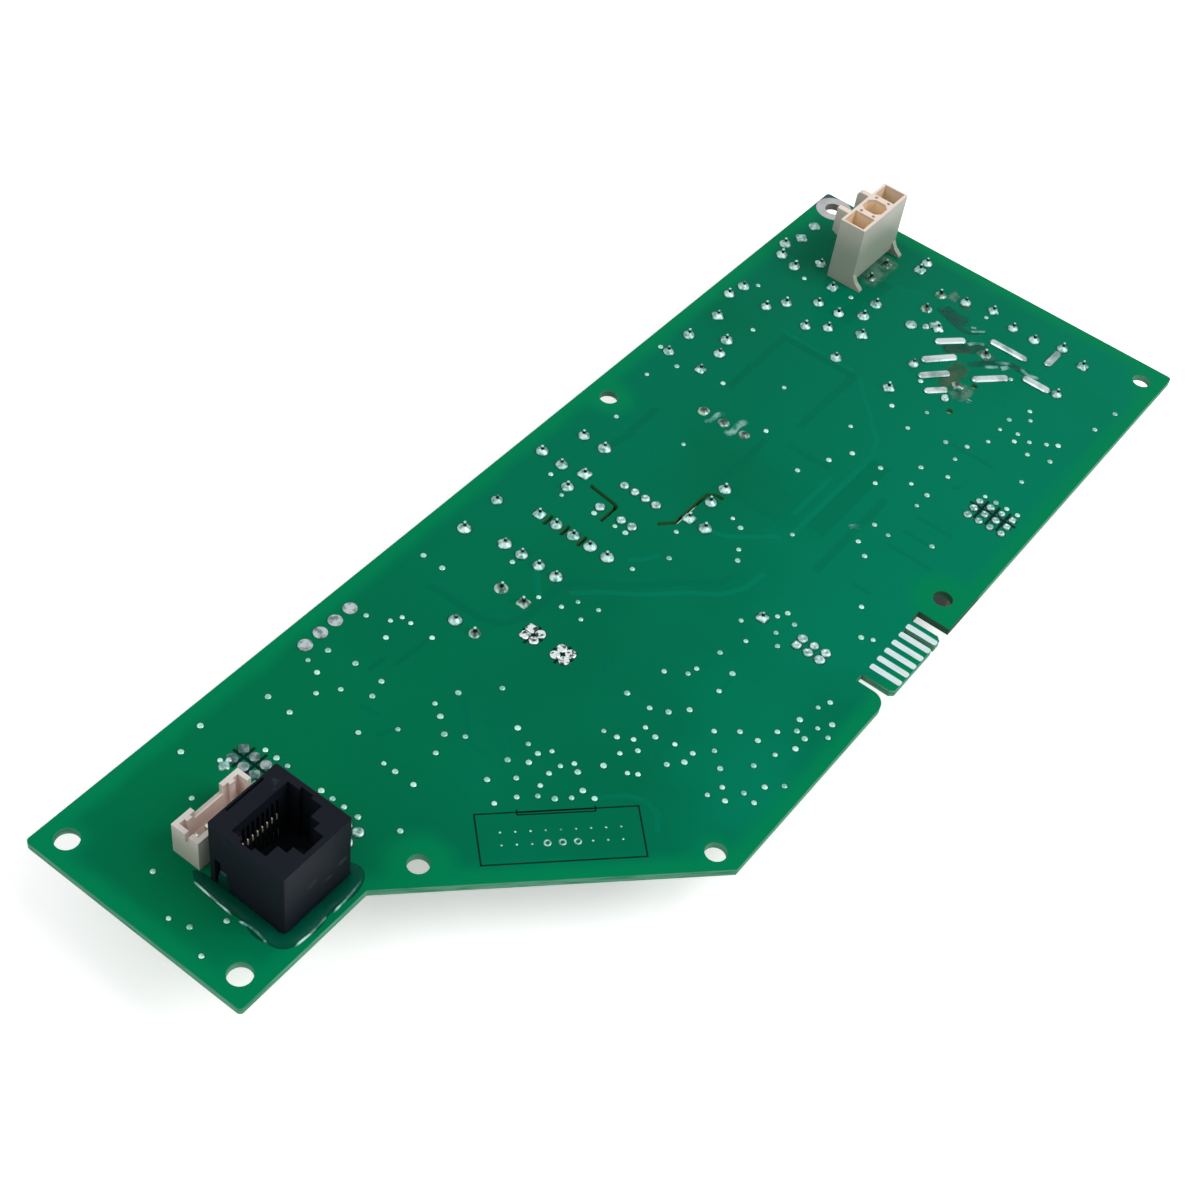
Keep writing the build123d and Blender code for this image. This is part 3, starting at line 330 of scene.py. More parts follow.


# the last colour of each is painted light: the paler varnish towards the finger edge
over_copper = varnish_over("varnish_over_copper", (0.0, 0.138, 0.068, 1), (0.0, 0.152, 0.078, 1),
                           (0.0, 0.182, 0.097, 1))
over_glass = varnish_over("varnish_over_glass", (0.0, 0.168, 0.089, 1), (0.0, 0.184, 0.099, 1),
                          (0.0, 0.214, 0.117, 1))
runs("short_tracks", [
    [(62.5, 72.8), (66.5, 72.6)], [(66.5, 70.2), (75.5, 69.6)], [(55.8, 68.8), (56.2, 65)],
    [(52.5, 62.4), (54.5, 61.6), (55.6, 60.6)], [(62, 46), (62, 49.5), (69, 56.5), (69, 58)],
    [(67.5, 50.5), (72, 50.5)], [(75, 52.5), (75, 49.5)], [(53.5, 45.2), (57, 45.2), (58, 43.6)],
    [(63.5, 42.5), (67.5, 46.3), (69.8, 46)], [(102, 29.8), (105.2, 29.3)],
    [(92.2, 50), (92.2, 46.4), (93.4, 44), (89, 40.4), (88.9, 31.5)], [(107.5, 31), (108, 29)],
    [(100.8, 23.6), (104, 24), (105.2, 24.6)], [(113.2, 27.2), (117, 30.3)],
    [(66.8, 26.8), (71.2, 22.8), (72.4, 19.6), (71.6, 16.6), (68.4, 14.4)],
    [(153, 20.5), (153, 10.5)], [(158.3, 20), (158.3, 14)], [(163.5, 20), (163.5, 12)],
    [(139.5, 20), (139.5, 16)], [(186.5, 25), (186.5, 15.5)], [(175.5, 18.6), (177, 17.4)],
], 1.0, 0.02, over_copper, "board_laminate")
runs("wide_tracks", [
    [(84.8, 78), (84.8, 66), (87, 61.8), (91, 60.2), (100, 60.2), (104, 58.4), (108, 52.6),
     (117.5, 43.6), (122, 38.8), (127, 36.9)],
    [(144.5, 54), (160.4, 54)], [(168, 68.6), (189.4, 68.6), (189.4, 51.2), (168.5, 51.2)],
    [(137, 27), (163, 27)], [(136, 76.2), (141, 75.2), (152, 75.6)], [(143.4, 50), (143.4, 40)],
    [(162.4, 50), (162.4, 40)],
], 1.7, 0.014, over_copper, "board_laminate")
runs("copper_areas", [[(146, 32.8), (171, 32.8)], [(203, 62.8), (221, 62.8)]], 4.2, 0.009,
     over_copper, "board_laminate")
runs("copper_gaps", [
    [(100.6, 58.0), (105.0, 53.6), (109.5, 47.8), (115.5, 42.2), (119.6, 37.0), (124, 34.6),
     (130, 33.8)],
    [(146.5, 38.4), (161, 38.4)], [(141.5, 35.6), (171.5, 35.6), (176, 37.2), (190.2, 50.4)],
    [(96.5, 62), (99.4, 64.6), (101, 66)], [(131.7, 47.8), (132.5, 45), (135.2, 41.8), (140, 36.8)],
    [(114.5, 55), (117, 52.8), (120, 51.2)], [(190.8, 70), (190.8, 52)],
    [(221.2, 60.3), (222.2, 57.1), (223.8, 53.8)],
], 1.1, 0.026, over_glass, "board_laminate")

# ------------------------------------------------------------------------------ printed lines
# Ink printed on the varnish: the outline of a header that was never fitted, its key and pin
# one marks, and short lines between the joints of the fitted headers.  Lettering is left off.
ink = Finish("marking_ink", Roughness=0.55, Specular_IOR_Level=0.05)
ink.paint((0.0, 0.011, 0.009, 1), (0.0, 0.028, 0.02, 1), ink.noise(1500, 2))

printed = [
    [(44.0, 32.3), (51.0, 39.6), (70.8, 20.0), (63.6, 12.8), (44.0, 32.3), (44.2, 32.5)],
    [(55.7, 34.2), (56.5, 34.9)], [(55.7, 34.2), (65.1, 24.8)], [(65.1, 24.8), (65.9, 25.5)],
    [(56.3, 34.3), (65.2, 25.5)],
]
runs("printed_lines", printed, 0.30, 0.02, ink, "board_laminate", 0.004)
runs("joint_rows", [[(31.8, 73.1), (37.4, 73.1)], [(31.8, 75.6), (37.2, 75.6)],
                    [(85.6, 49.8), (90.6, 49.8)], [(85.6, 56.7), (90.6, 56.7)],
                    [(171.2, 6.2), (177.4, 6.2)], [(171.2, 8.7), (177.4, 8.7)],
                    [(171.2, 11.3), (177.4, 11.3)]], 0.55, 0.03, ink, "board_laminate", 0.02)
runs("joint_columns", [[(34.55, 60), (34.55, 78.0)], [(88.2, 47.6), (88.2, 52.0)],
                       [(88.2, 54.5), (88.2, 58.9)], [(174.6, 3.6), (174.6, 14.0)]],
     0.6, 0.03, ink, "board_laminate", 0.012)

# ------------------------------------------------------------------------------ solder joints
# Wave-soldered joints.  The solder climbs each snipped lead in a hollow cone and keeps a thin
# flat foot on its pad; the cut end of the lead stays bare and a little darker.
rng = np.random.default_rng(7)


def solids_of(name):
    """Lowest and highest corner of each solid of a CAD node."""
    mesh = bmesh.new()
    mesh.from_mesh(nodes[name].data)
    bmesh.ops.remove_doubles(mesh, verts=mesh.verts, dist=1e-6)
    left = set(mesh.verts)
    boxes = []
    while left:
        reached = [left.pop()]
        for vertex in reached:
            beside = {edge.other_vert(vertex) for edge in vertex.link_edges} & left
            left -= beside
            reached.extend(beside)
        points = np.array([vertex.co for vertex in reached])
        boxes.append((points.min(axis=0), points.max(axis=0)))
    mesh.free()
    return np.array(sorted(boxes, key=lambda box: tuple(box[0])))


def middles(boxes):
    """Centres of boxes, seen from above."""
    return boxes[:, :, :2].mean(axis=1)


def turned(places, radii, heights, sides, lean=None, petals=None):
    """Turned bodies, one at each place: ring i of body k has radius radii[k, i] and lies
    heights[k, i] above the place's own level; lean shifts the rings sideways with height, and
    petals[k] swells and pinches them four times round, r (1 + petals cos 4 angle).  One row of
    radii or heights serves all the bodies."""
    shape = (len(places), np.shape(heights)[-1])
    radii, heights = np.broadcast_to(radii, shape), np.broadcast_to(heights, shape)
    angle = np.linspace(0, 2 * np.pi, sides, endpoint=False)
    circle = np.stack([np.cos(angle), np.sin(angle), np.zeros(sides)], axis=1)
    grids = radii[:, :, None, None] * circle
    if petals is not None:
        grids *= 1 + petals[:, None, None, None] * np.cos(4 * angle)[:, None]
    grids[..., 2] += heights[:, :, None]
    if lean is not None:
        grids[..., :2] += heights[:, :, None, None] * lean[:, None, None, :]
    return places[:, None, None, :] + grids


solder = Finish("dull_solder", Metallic=1.0)
grain = solder.noise(1100, 3)
# painted reflection: both solder colours are tinted green for the light the board throws onto the
# joints
solder.paint((0.09, 0.25, 0.21, 1), (0.44, 0.62, 0.59, 1), grain.step(0.3, 0.65),
             Roughness=grain * 0.3 + 0.32)
solder.bump(grain, 0.06 * mm, 0.4)

# Around each joint a thin dark rim of painted shade stands for the shadow at the joint's foot.
rim_shade = Finish("painted_rim_shade", Roughness=0.4, Specular_IOR_Level=0.1)
rim_shade.paint((0.0, 0.05, 0.032, 1), (0.0, 0.085, 0.05, 1), rim_shade.noise(900))


def rims(name, places, radii, sides=12):
    """Thin flat discs, a little wider than the joints that stand on them."""
    share = np.array([0, 1, 1, 0])
    rise = np.array([0, 0, 0.012, 0.012]) * mm
    radii = (radii + 0.18 * mm)[:, None] * share
    place(patches(name, turned(places, radii, rise, sides)), rim_shade, "board_laminate")


def on_board(points):
    """The same places, on the upper face."""
    return np.column_stack([points, np.full(len(points), face_z)])


def joint_bodies(points, base, share, rise, sides, lean):
    """Turned joints of slightly unlike girth and height, with their radii at the board."""
    count = len(points)
    base = rng.uniform(0.92, 1.10, count) * base * mm
    climb = rng.uniform(0.88, 1.05, count)[:, None] * rise * mm
    slope = rng.normal(0, lean, (count, 2))
    petals = rng.choice([0, 0.02, 0.03, 0.05, 0.14, -0.12], count)
    return base, turned(on_board(points), base[:, None] * share, climb, sides, slope, petals)


def close_to(points, places, reach):
    """True for each point within reach, in millimetres, of one of the places."""
    places = np.array([spot(x, y)[:2] for x, y in places])
    gaps = np.linalg.norm(points[:, None] - places[None], axis=2)
    return gaps.min(axis=1) < reach * mm


# Joints that a later drop of varnish has run over.
drowned = [(158.3, 68.1), (158.3, 63.1), (158.3, 58.1), (93, 67.9), (93, 62.6), (81.6, 64.3),
           (219.8, 65.8), (226.2, 65.8), (219.8, 51.1), (226.1, 51.2), (216.3, 34.0), (202.6, 33.2)]
cone_share = np.array([0, 1, 1, 0.93, 0.80, 0.60, 0.42, 0.28, 0.24, 0])
cone_rise = np.array([0, 0, 0.06, 0.20, 0.36, 0.52, 0.66, 0.82, 1.0, 1.0])
wired = solids_of("wire_joints")
tipped = wired[:, 1, 2] > face_z + 1.2 * mm
leads = middles(wired[tipped])
under_drop = close_to(leads, drowned, 1.2)
base, bodies = joint_bodies(leads[~under_drop], 1.28, cone_share, cone_rise, 18, 0.06)
place(patches("wire_solder", bodies), solder, "solder", hides=["wire_joints"])
rims("wire_rims", on_board(leads[~under_drop]), base)

cap_share = np.array([0, 1, 1, 0.95, 0.82, 0.60, 0.30, 0])
cap_rise = np.array([0, 0, 0.08, 0.26, 0.42, 0.56, 0.63, 0.64])
capped = middles(wired[~tipped])
base, bodies = joint_bodies(capped, 1.45, cap_share, cap_rise, 20, 0.03)
place(patches("cap_solder", bodies), solder, "solder")
rims("cap_rims", on_board(capped), base)

# The snipped ends of the leads, their sides painted dark as shade and their cut ends painted bright
# as a highlight.
lead_end = Finish("lead_end", Metallic=1.0)
x, y, z = lead_end.axes()
tip_highlight = (z / mm).step(face_z / mm + 1.45, face_z / mm + 1.6)
lead_end.paint((0.03, 0.05, 0.045, 1), (0.44, 0.70, 0.62, 1), tip_highlight, Roughness=0.35)
share = np.array([0, 1, 1, 0.8, 0])
rise = np.array([0.5, 0.5, 1.56, 1.68, 1.7])
_, bodies = joint_bodies(leads, 0.33, share, rise, 8, 0.05)
place(patches("lead_ends", bodies), lead_end, "solder")

# The thermal pads' joints are flat and ragged, and the harness joints lie under the varnish.
ragged = Finish("ragged_solder", Metallic=0.6)
speck = ragged.noise(1000, 4)
ragged.paint((0.01, 0.05, 0.04, 1), (0.72, 0.78, 0.77, 1), speck.step(0.40, 0.48),
             Roughness=0.35)
ragged.bump(speck, 0.12 * mm, 0.6)
veiled = Finish("veiled_solder", Metallic=0.35, Roughness=0.3)
speck = veiled.noise(450, 3)
veiled.paint((0.02, 0.09, 0.075, 1), (0.36, 0.44, 0.46, 1), speck.step(0.40, 0.70))
veiled.bump(speck, 0.1 * mm, 0.5)
pins = middles(solids_of("pin_joints"))
under_film = close_to(pins, [(33.2, 76.8), (35.9, 76.8), (33.2, 74.3), (35.9, 74.3), (33.2, 71.7),
                             (35.9, 71.7), (33.2, 69.2), (35.9, 69.2)], 1.2)
thermal = close_to(pins, [(88.2, y) for y in (48.8, 50.8, 55.7, 57.7)], 1.8)
late_drop = close_to(pins, drowned, 1.2)
share = np.array([0, 1, 1, 0.90, 0.70, 0.50, 0.32, 0])
rise = np.array([0, 0, 0.08, 0.28, 0.42, 0.46, 0.34, 0.30])
plain_pins = pins[~(under_film | thermal | late_drop)]
small = close_to(plain_pins, [(174.7, 8.6)], 7.5)
base, bodies = joint_bodies(plain_pins, np.where(small, 0.84, 1.0), share, rise, 14, 0.03)
place(patches("pin_solder", bodies), solder, "solder", hides=["pin_joints"])
rims("pin_rims", on_board(plain_pins), base)
flat_share = np.array([0, 1, 1, 0.96, 0.80, 0.45, 0])
flat_rise = np.array([0, 0, 0.06, 0.18, 0.27, 0.18, 0.12])
base, bodies = joint_bodies(pins[thermal], 1.02, flat_share, flat_rise, 16, 0.03)
place(patches("thermal_solder", bodies), ragged, "solder")
rims("thermal_rims", on_board(pins[thermal]), base)
base, bodies = joint_bodies(pins[under_film], 0.98, flat_share, flat_rise, 16, 0.03)
place(patches("veiled_joints", bodies), veiled, "solder")

drowned_solder = Finish("drowned_solder", Metallic=0.2, Roughness=0.25, Coat_Weight=0.4)
x, y, z = drowned_solder.axes()
climb = (z / mm).step(face_z / mm + 0.25, face_z / mm + 0.6)
film = drowned_solder.noise(700, 3)
ring_tone = drowned_solder.mix((0.0, 0.10, 0.06, 1), (0.36, 0.58, 0.48, 1), film.step(0.42, 0.6))
drowned_solder.paint(ring_tone, (0.004, 0.03, 0.022, 1), climb)
drowned_solder.bump(film, 0.1 * mm, 0.5)
drowned_joints = np.vstack([leads[under_drop], pins[late_drop]])
_, bodies = joint_bodies(drowned_joints, 1.28, cone_share, cone_rise * 0.8, 16, 0.05)
place(patches("drowned_joints", bodies), drowned_solder, "solder")

# On the other face the joints of the connectors hang down.
hanging = middles(solids_of("under_joints"))
_, bodies = joint_bodies(hanging, 1.0, share, rise, 14, 0.03)
bodies[..., 2] = back_z + face_z - bodies[..., 2]
place(patches("hanging_joints", bodies), solder, "solder", hides=["under_joints"])

bar_solder = Finish("bar_solder", Metallic=1.0)
flow = bar_solder.noise(260, 2)
bar_solder.paint((0.20, 0.31, 0.29, 1), (0.58, 0.68, 0.67, 1), flow.step(0.3, 0.6),
                 Roughness=flow * 0.25 + 0.15)
bar_solder.bump(flow, 0.1 * mm, 0.4)
dress(bar_solder, "solder_bars")

pad_solder = Finish("pad_solder", Metallic=0.9)
scuff = pad_solder.noise(900, 4)
pad_solder.paint((0.14, 0.19, 0.19, 1), (0.46, 0.54, 0.56, 1), scuff.step(0.32, 0.6),
                 Roughness=scuff * 0.3 + 0.35)
pad_solder.bump(scuff, 0.08 * mm, 0.6)
dress(pad_solder, "flat_solder_pads")

# ------------------------------------------------------------------------------ filled vias
# Small plated holes filled by the solder wave: low round beads, scattered thickest round the
# chips on the other face.
vias = [
    # tail, round the jack
    (3, 54), (4.5, 62.5), (5.5, 59), (9, 70.5), (10, 55.5), (23, 76), (28.5, 84), (31.5, 78),
    (34.5, 85.5), (38, 53.5), (38, 56.5), (38, 59), (38, 61.5), (38, 69), (38, 71.5), (38, 74),
    (40.5, 46.5), (31.5, 76.5),
    # between the jack and the transformer
    (46.5, 76.5), (46.5, 81.5), (49, 57.5), (49, 55), (49, 51), (51, 65), (52.5, 76),
    (56, 60.5), (56, 73.5), (56, 79), (57, 82), (58.5, 68.5), (60.5, 54), (61, 81),
    (62, 75.5), (62, 69.5), (62.5, 51), (63, 57), (64.5, 59.5), (69, 58), (70, 45.5),
    (70, 75.5), (71.5, 81.5), (73.5, 77.5), (75, 53), (75.5, 69.5), (75.5, 74.5), (75.5, 76.5),
    (89.5, 83.5), (89.5, 79), (96, 61.5), (97, 52.5), (97, 57), (100, 55.5), (101, 51.5),
    (99.5, 70.5), (113.5, 53), (56.5, 52.5),
    # round the microcontroller
    (55, 38.5), (58, 42.5), (58.5, 36.5), (61, 34), (61.5, 39), (62.5, 31.5), (63, 35),
    (63.5, 42.5), (64.5, 29.5), (65.5, 39.5), (66, 35.5), (67, 26.5), (67, 29), (68, 39.5),
    (68.5, 35), (68.5, 42), (69.5, 32), (70, 38), (70.5, 33.5), (73.5, 29.5), (75, 25.5),
    (76, 24), (77.5, 29), (79.5, 34), (80, 27), (80, 31.5), (81.5, 29), (85, 29),
    (84.5, 26.5), (89, 36), (89, 31),
    # towards the edge fingers
    (80.5, 12.5), (81, 21.5), (81.5, 9.5), (83.5, 11.5), (83.5, 19.5), (84.5, 5.5), (85, 8),
    (85.5, 23), (86, 19.5), (86.5, 14), (88.5, 6), (89, 17), (90.5, 28), (91, 10), (91, 3.5),
    (92.5, 19.5), (93.5, 25.5), (95.5, 8.5), (95.5, 16), (96, 12.5), (97.5, 34), (99, 6.5),
    (100, 11), (100, 30.5), (100.5, 24), (102, 6.5), (102, 30), (102.5, 8.5), (105, 3.5),
    (105, 9.5), (105.5, 24.5), (105.5, 6), (108, 4.5), (108, 29), (109.5, 8.5), (112, 7.5),
    (113.5, 27), (116.5, 22), (117, 30.5), (119, 24), (122.5, 26), (123, 22.5),
    (124.5, 25), (129, 11.5), (130, 9.5), (135.5, 15.5),
    # middle
    (119.5, 74.5), (122.5, 79.5), (120, 59.5), (120, 62), (120, 67), (120.5, 49.5),
    (127, 52.5), (129, 39.5), (131.5, 41), (136.5, 44), (137.5, 46.5), (142, 35.5), (147, 22),
    (144.5, 80), (147.5, 65.5), (149.5, 25), (155, 21.5), (155.5, 25), (157.5, 44.5),
    (158.5, 13.5), (159, 83), (162.5, 55.5), (164.5, 41.5), (165.5, 31), (165.5, 80),
    (166, 21.5), (168, 86), (168, 70), (169.5, 39), (170, 32.5), (170, 21.5),
    (170.5, 25.5), (176, 26.5), (176, 43.5), (176, 60), (177.5, 21),
    # mains end
    (178, 5), (178, 7.5), (178, 10), (178, 12.5), (183, 22.5), (184, 34.5), (186, 26.5),
    (186.5, 75), (187, 9), (187.5, 40.5), (188, 22.5), (191, 34), (192.5, 20),
    (195, 12), (196.5, 7.5), (196.5, 16), (197.5, 20), (198.5, 13.5), (199, 16.5),
    (200.5, 10.5), (201.5, 20), (202, 8.5), (204.5, 16.5), (207, 18), (209, 76.5),
    (211, 65.5), (212, 5), (213, 26), (219.5, 4), (199.5, 82.5), (198.5, 40),
    (227, 40),
]
centres = np.array([spot(x, y) for x, y in vias])
count = len(centres)
share = np.array([0, 1, 0.92, 0.55, 0])
rise = np.array([0, 0, 0.10, 0.20, 0.24])
base = rng.uniform(0.50, 0.64, count) * mm
climb = rng.uniform(0.7, 1.1, count)[:, None] * rise * mm
via_solder = Finish("via_solder", Metallic=0.6, Roughness=0.4)
# painted reflection: the beads are tinted green for the board's light on them
via_solder.paint((0.15, 0.45, 0.34, 1), (0.50, 0.86, 0.73, 1),
                 via_solder.noise(400).step(0.3, 0.7))
place(patches("via_beads", turned(centres, base[:, None] * share, climb, 8)), via_solder, "solder")
rims("via_rims", centres, base - 0.04 * mm, 8)

# Solder that has run together beside the harness joints and the relay joints.
puddles = [(31.1, 76.7), (32.4, 76.9), (214.5, 48.3), (216.2, 47.3), (217.4, 47.0), (197.9, 33.6)]
puddles = np.array([spot(x, y) for x, y in puddles])
share = np.array([0, 1, 0.96, 0.75, 0.4, 0])
rise = np.array([0, 0, 0.15, 0.32, 0.40, 0.42]) * mm
radii = np.array([1.05, 0.6, 0.85, 0.95, 0.6, 0.75])[:, None] * share * mm
petals = np.array([0.12, 0, 0.1, 0.15, 0, 0.14])
place(patches("solder_puddles", turned(puddles, radii, rise, 16, None, petals)), solder, "solder")

# The header that was never fitted: two rows of nine tented holes, three of them left bare.
first = np.array([49.3, 32.3])
pitch = 2.54 * np.array([0.7071, -0.7071])
row_gap = 2.54 * np.array([0.7071, 0.7071])
holes = np.array([first + pitch * column + row_gap * row for row in (0, 1) for column in range(9)])
bare = np.array([spot(x, y) for x, y in holes[3:6]])
tented = np.array([spot(x, y) for x, y in np.delete(holes, [3, 4, 5], axis=0)])
share = np.array([0.36, 0.36, 0.42, 0.60, 0.66, 0.66, 0.36])
rise = np.array([0, 0.04, 0.07, 0.07, 0.04, 0, 0])
place(patches("bare_rings", turned(bare, share * mm, rise * mm, 20)), solder, "solder")
share = np.array([0, 0.2, 0.14, 0])
rise = np.array([0, 0, 0.05, 0.06])
place(patches("tented_holes", turned(tented, share * mm, rise * mm, 8)), solder, "solder")

# ------------------------------------------------------------------------------ bare copper
# Bare tinned copper: the edge fingers, dragged by the plug that slides over them, and the
# earth ring, scratched by the washer of its screw.  The regulator's tab is like the fingers.
tinned = Finish("tinned_copper", Metallic=1.0)
drag = tinned.noise(700, 3, (4, 0.35, 1))
tinned.paint((0.48, 0.60, 0.62, 1), (0.72, 0.82, 0.86, 1), drag, Roughness=drag * 0.35 + 0.28)
tinned.bump(drag, 0.02 * mm, 0.4)
dress(tinned, "edge_fingers", "regulator_tab")

ring_metal = Finish("earth_metal", Metallic=0.8)
worn = ring_metal.noise(500, 4)
ring_metal.paint((0.34, 0.35, 0.36, 1), (0.58, 0.58, 0.58, 1), worn,
                 Roughness=worn * 0.3 + 0.35)
ring_metal.bump(worn, 0.02 * mm, 0.4)
dress(ring_metal, "earth_ring")

# ------------------------------------------------------------------------------ modular jack
# Black moulded housing with a fine sparked surface.  Eight gilt spring wires stand in its mouth,
# painted dark below their tips as the shade deep in the mouth.
jack_black = Finish("jack_black", Roughness=0.45, Specular_IOR_Level=0.05)
sparked = jack_black.noise(5200, 2)
moulding = jack_black.mix((0.007, 0.009, 0.014, 1), (0.011, 0.014, 0.020, 1), jack_black.noise(120))
scuffs = jack_black.noise(190, 4, (1, 1, 2)).step(0.66, 0.74)
jack_black.paint(moulding, (0.03, 0.034, 0.038, 1), scuffs, Roughness=sparked * 0.2 + 0.36)
jack_black.bump(sparked, 0.02 * mm, 0.5)
dress(jack_black, "jack_housing")

gilt = Finish("gilt_wire", Metallic=0.7, Roughness=0.4)
x, y, z = gilt.axes()
low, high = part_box("jack_contacts")
# painted shade: below their tips the wires are painted dark, as the shade deep in the jack's mouth
lit_tip = (z / mm).step(high.z / mm - 1.6, high.z / mm - 1.0)
gilt.paint((0.02, 0.018, 0.014, 1), (0.98, 0.86, 0.62, 1), lit_tip)
wires = middles(solids_of("jack_contacts"))
share = np.array([0, 1, 1, 0.8, 0.4, 0])
rise = np.array([0, 0, 0.96, 0.98, 0.995, 1.0]) * (high.z - low.z)
foot = np.column_stack([wires, np.full(len(wires), low.z)])
place(patches("contact_wires", turned(foot, share * 0.24 * mm, rise, 10)), gilt, "gilt_contact",
      hides=["jack_contacts"])

# ------------------------------------------------------------------------------ sealant
# Clear sealant run by hand round the two open sides of the jack's foot, which it glues to the
# board: a soft bead of uneven width.
sealant = Finish("clear_sealant", Roughness=0.3, Alpha=0.45, Specular_IOR_Level=0.08)
sealant.paint((0.0, 0.05, 0.032, 1), (0.0, 0.13, 0.08, 1), sealant.noise(200))
sealant.bump(sealant.noise(260, 2), 0.2 * mm, 0.4)


def smooth_path(points, steps):
    """Catmull-Rom curve through points: each run is a cubic that leaves and enters with the
    slope between its neighbours."""
    points = np.array(points, float)
    ends = np.vstack([2 * points[0] - points[1], points, 2 * points[-1] - points[-2]])
    a, b, c, d = ends[:-3, None], ends[1:-2, None], ends[2:-1, None], ends[3:, None]
    t = np.linspace(0, 1, steps, endpoint=False)[None, :, None]
    curve = b + (c - a) * t / 2 + (a - 2.5 * b + 2 * c - d / 2) * t ** 2 \
        + (1.5 * b - 1.5 * c + (d - a) / 2) * t ** 3
    return np.vstack([curve.reshape(-1, points.shape[1]), points[-1:]])


def bead(points, half_width, crown, steps=12, wobble=0.1, level=0.01):
    """A run of gel along a path: half an ellipse across, fading to nothing at both ends."""
    centre = smooth_path(points, steps)
    run = np.gradient(centre, axis=0)
    run /= np.linalg.norm(run, axis=1)[:, None]
    side = np.stack([-run[:, 1], run[:, 0]], axis=1)
    t = np.linspace(0, 1, len(centre))
    fade = np.sqrt(np.clip(np.minimum(t, 1 - t) * 9, 0, 1))
    swing = len(points) * t
    waves = 1 + wobble * (np.sin(2.5 * swing) + 0.6 * np.sin(4.3 * swing + 1))
    angle = np.linspace(0, np.pi, 12)
    across = (np.cos(angle)[None] * (half_width * fade * waves)[:, None])[..., None] * side[:, None]
    flat = centre[:, None] + across
    crowns = np.sin(angle)[None] * (crown * fade * waves)[:, None] + level
    return spot(0, 0) + np.concatenate([flat, crowns[..., None]], axis=2) * mm


foot_run = [(13.2, 66.0), (12.7, 60.0), (12.8, 54.0), (12.4, 49.5), (13.0, 46.4), (16.5, 45.6),
            (22.0, 45.7), (27.0, 45.4), (29.6, 46.6), (30.3, 49.0)]
place(patches("sealant_bead", bead(foot_run, 1.5, 0.9)[None]), sealant, "sealant",
      hides=["jack_sealant"])
# painted shade: a dark bead in the notch at the housing's foot stands for the shade inside it
low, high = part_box("jack_housing")
low, high = [((end.x - corner_x) / mm, (end.y - corner_y) / mm) for end in (low, high)]
notch_run = [(low[0] + 0.7, high[1] - 1.6), (low[0] + 0.7, high[1] - 4.6)]
notch_shade = Finish("painted_notch_shade", Roughness=0.2, Specular_IOR_Level=0.2)
notch_shade.paint((0.0, 0.02, 0.014, 1), (0.0, 0.05, 0.034, 1), notch_shade.noise(300))
place(patches("painted_notch_shade", bead(notch_run, 0.9, 4.0, 10, 0.04)[None]), notch_shade, "sealant")

# ------------------------------------------------------------------------------ varnish runs
# Flux and varnish that ran between the relay joints and dried: thin films, thickest along the
# middle.  With them, pale films that are painted highlights: glints along the sealant, over one
# harness joint and on the varnish.  Their uv map goes across and along each run, so streaks follow
# it and the edges fade.


def films(name, finish, strokes):
    """Several low runs of gel as one piece, each with its path, half width and crown."""
    beads = [bead(path, half, crown, 12, 0.06) for path, half, crown in strokes]
    place(joined(name, beads), finish, "sealant")


class Film(Finish):
    """A see-through finish that fades towards the edges and the ends of its run."""

    def __init__(self, name, dark, light, cover):
        super().__init__(name, Roughness=0.35, Specular_IOR_Level=0.2)
        u, v, _ = self.parts(self.node("ShaderNodeUVMap"))
        across, ends = (u * (1.0 - u) * 4.0).step(0.4, 1.0), (v * (1.0 - v) * 4.0).step(0.0, 0.7)
        cloud = self.noise(420, 3)
        self.paint(dark, light, cloud.step(0.35, 0.65),
                   Alpha=across * across * ends * cover * cloud.step(0.1, 0.55))


films("varnish_shadows", Film("thick_varnish", (0.0, 0.06, 0.038, 1), (0.0, 0.10, 0.065, 1), 0.6), [
    ([(222.6, 49.3), (220.6, 45.8), (219.6, 42.8), (219.9, 40.2), (222.5, 37.1)], 0.7, 0.05),
    ([(223.5, 49.3), (222.5, 46.9), (222.1, 44.3), (221.7, 41.3)], 2.38, 0.04),
    ([(210.3, 42.7), (212.7, 40.7), (215.1, 37.9), (217.0, 36.3), (217.9, 33.8)], 2.1, 0.04),
    ([(209.8, 35.8), (212.0, 33.9), (214.5, 32.1), (216.4, 29.6), (217.2, 27.8), (217.2, 25.5),
      (217.1, 21.4)], 1.12, 0.05),
])
films("flux_stains", Film("dried_flux", (0.022, 0.075, 0.036, 1), (0.085, 0.135, 0.075, 1), 0.55), [
    ([(199.8, 34.3), (202.3, 35.8), (205.1, 36.2), (207.8, 36.0), (210.3, 35.2)], 2.66, 0.05),
    ([(210.8, 42.0), (213.0, 39.6), (215.4, 36.6)], 1.68, 0.03),
    ([(226.9, 46.8), (226.8, 45.6), (227.2, 43.9)], 1.12, 0.04),
])
films("varnish_bloom", Film("clouded_varnish", (0.05, 0.20, 0.14, 1), (0.20, 0.36, 0.27, 1), 0.5), [
    ([(201.6, 33.3), (200.2, 31.6), (202.1, 31.2), (204.5, 32.7)], 1.82, 0.1),
    ([(225.8, 48.8), (228.6, 49.0), (229.5, 48.6)], 1.4, 0.1),
    ([(216.5, 66.8), (220.5, 66.4), (225.0, 66.5), (230, 67.2)], 3.36, 0.2),
    ([(216.5, 35.8), (215.6, 33.4), (216.6, 31.6)], 1.54, 0.06),
])
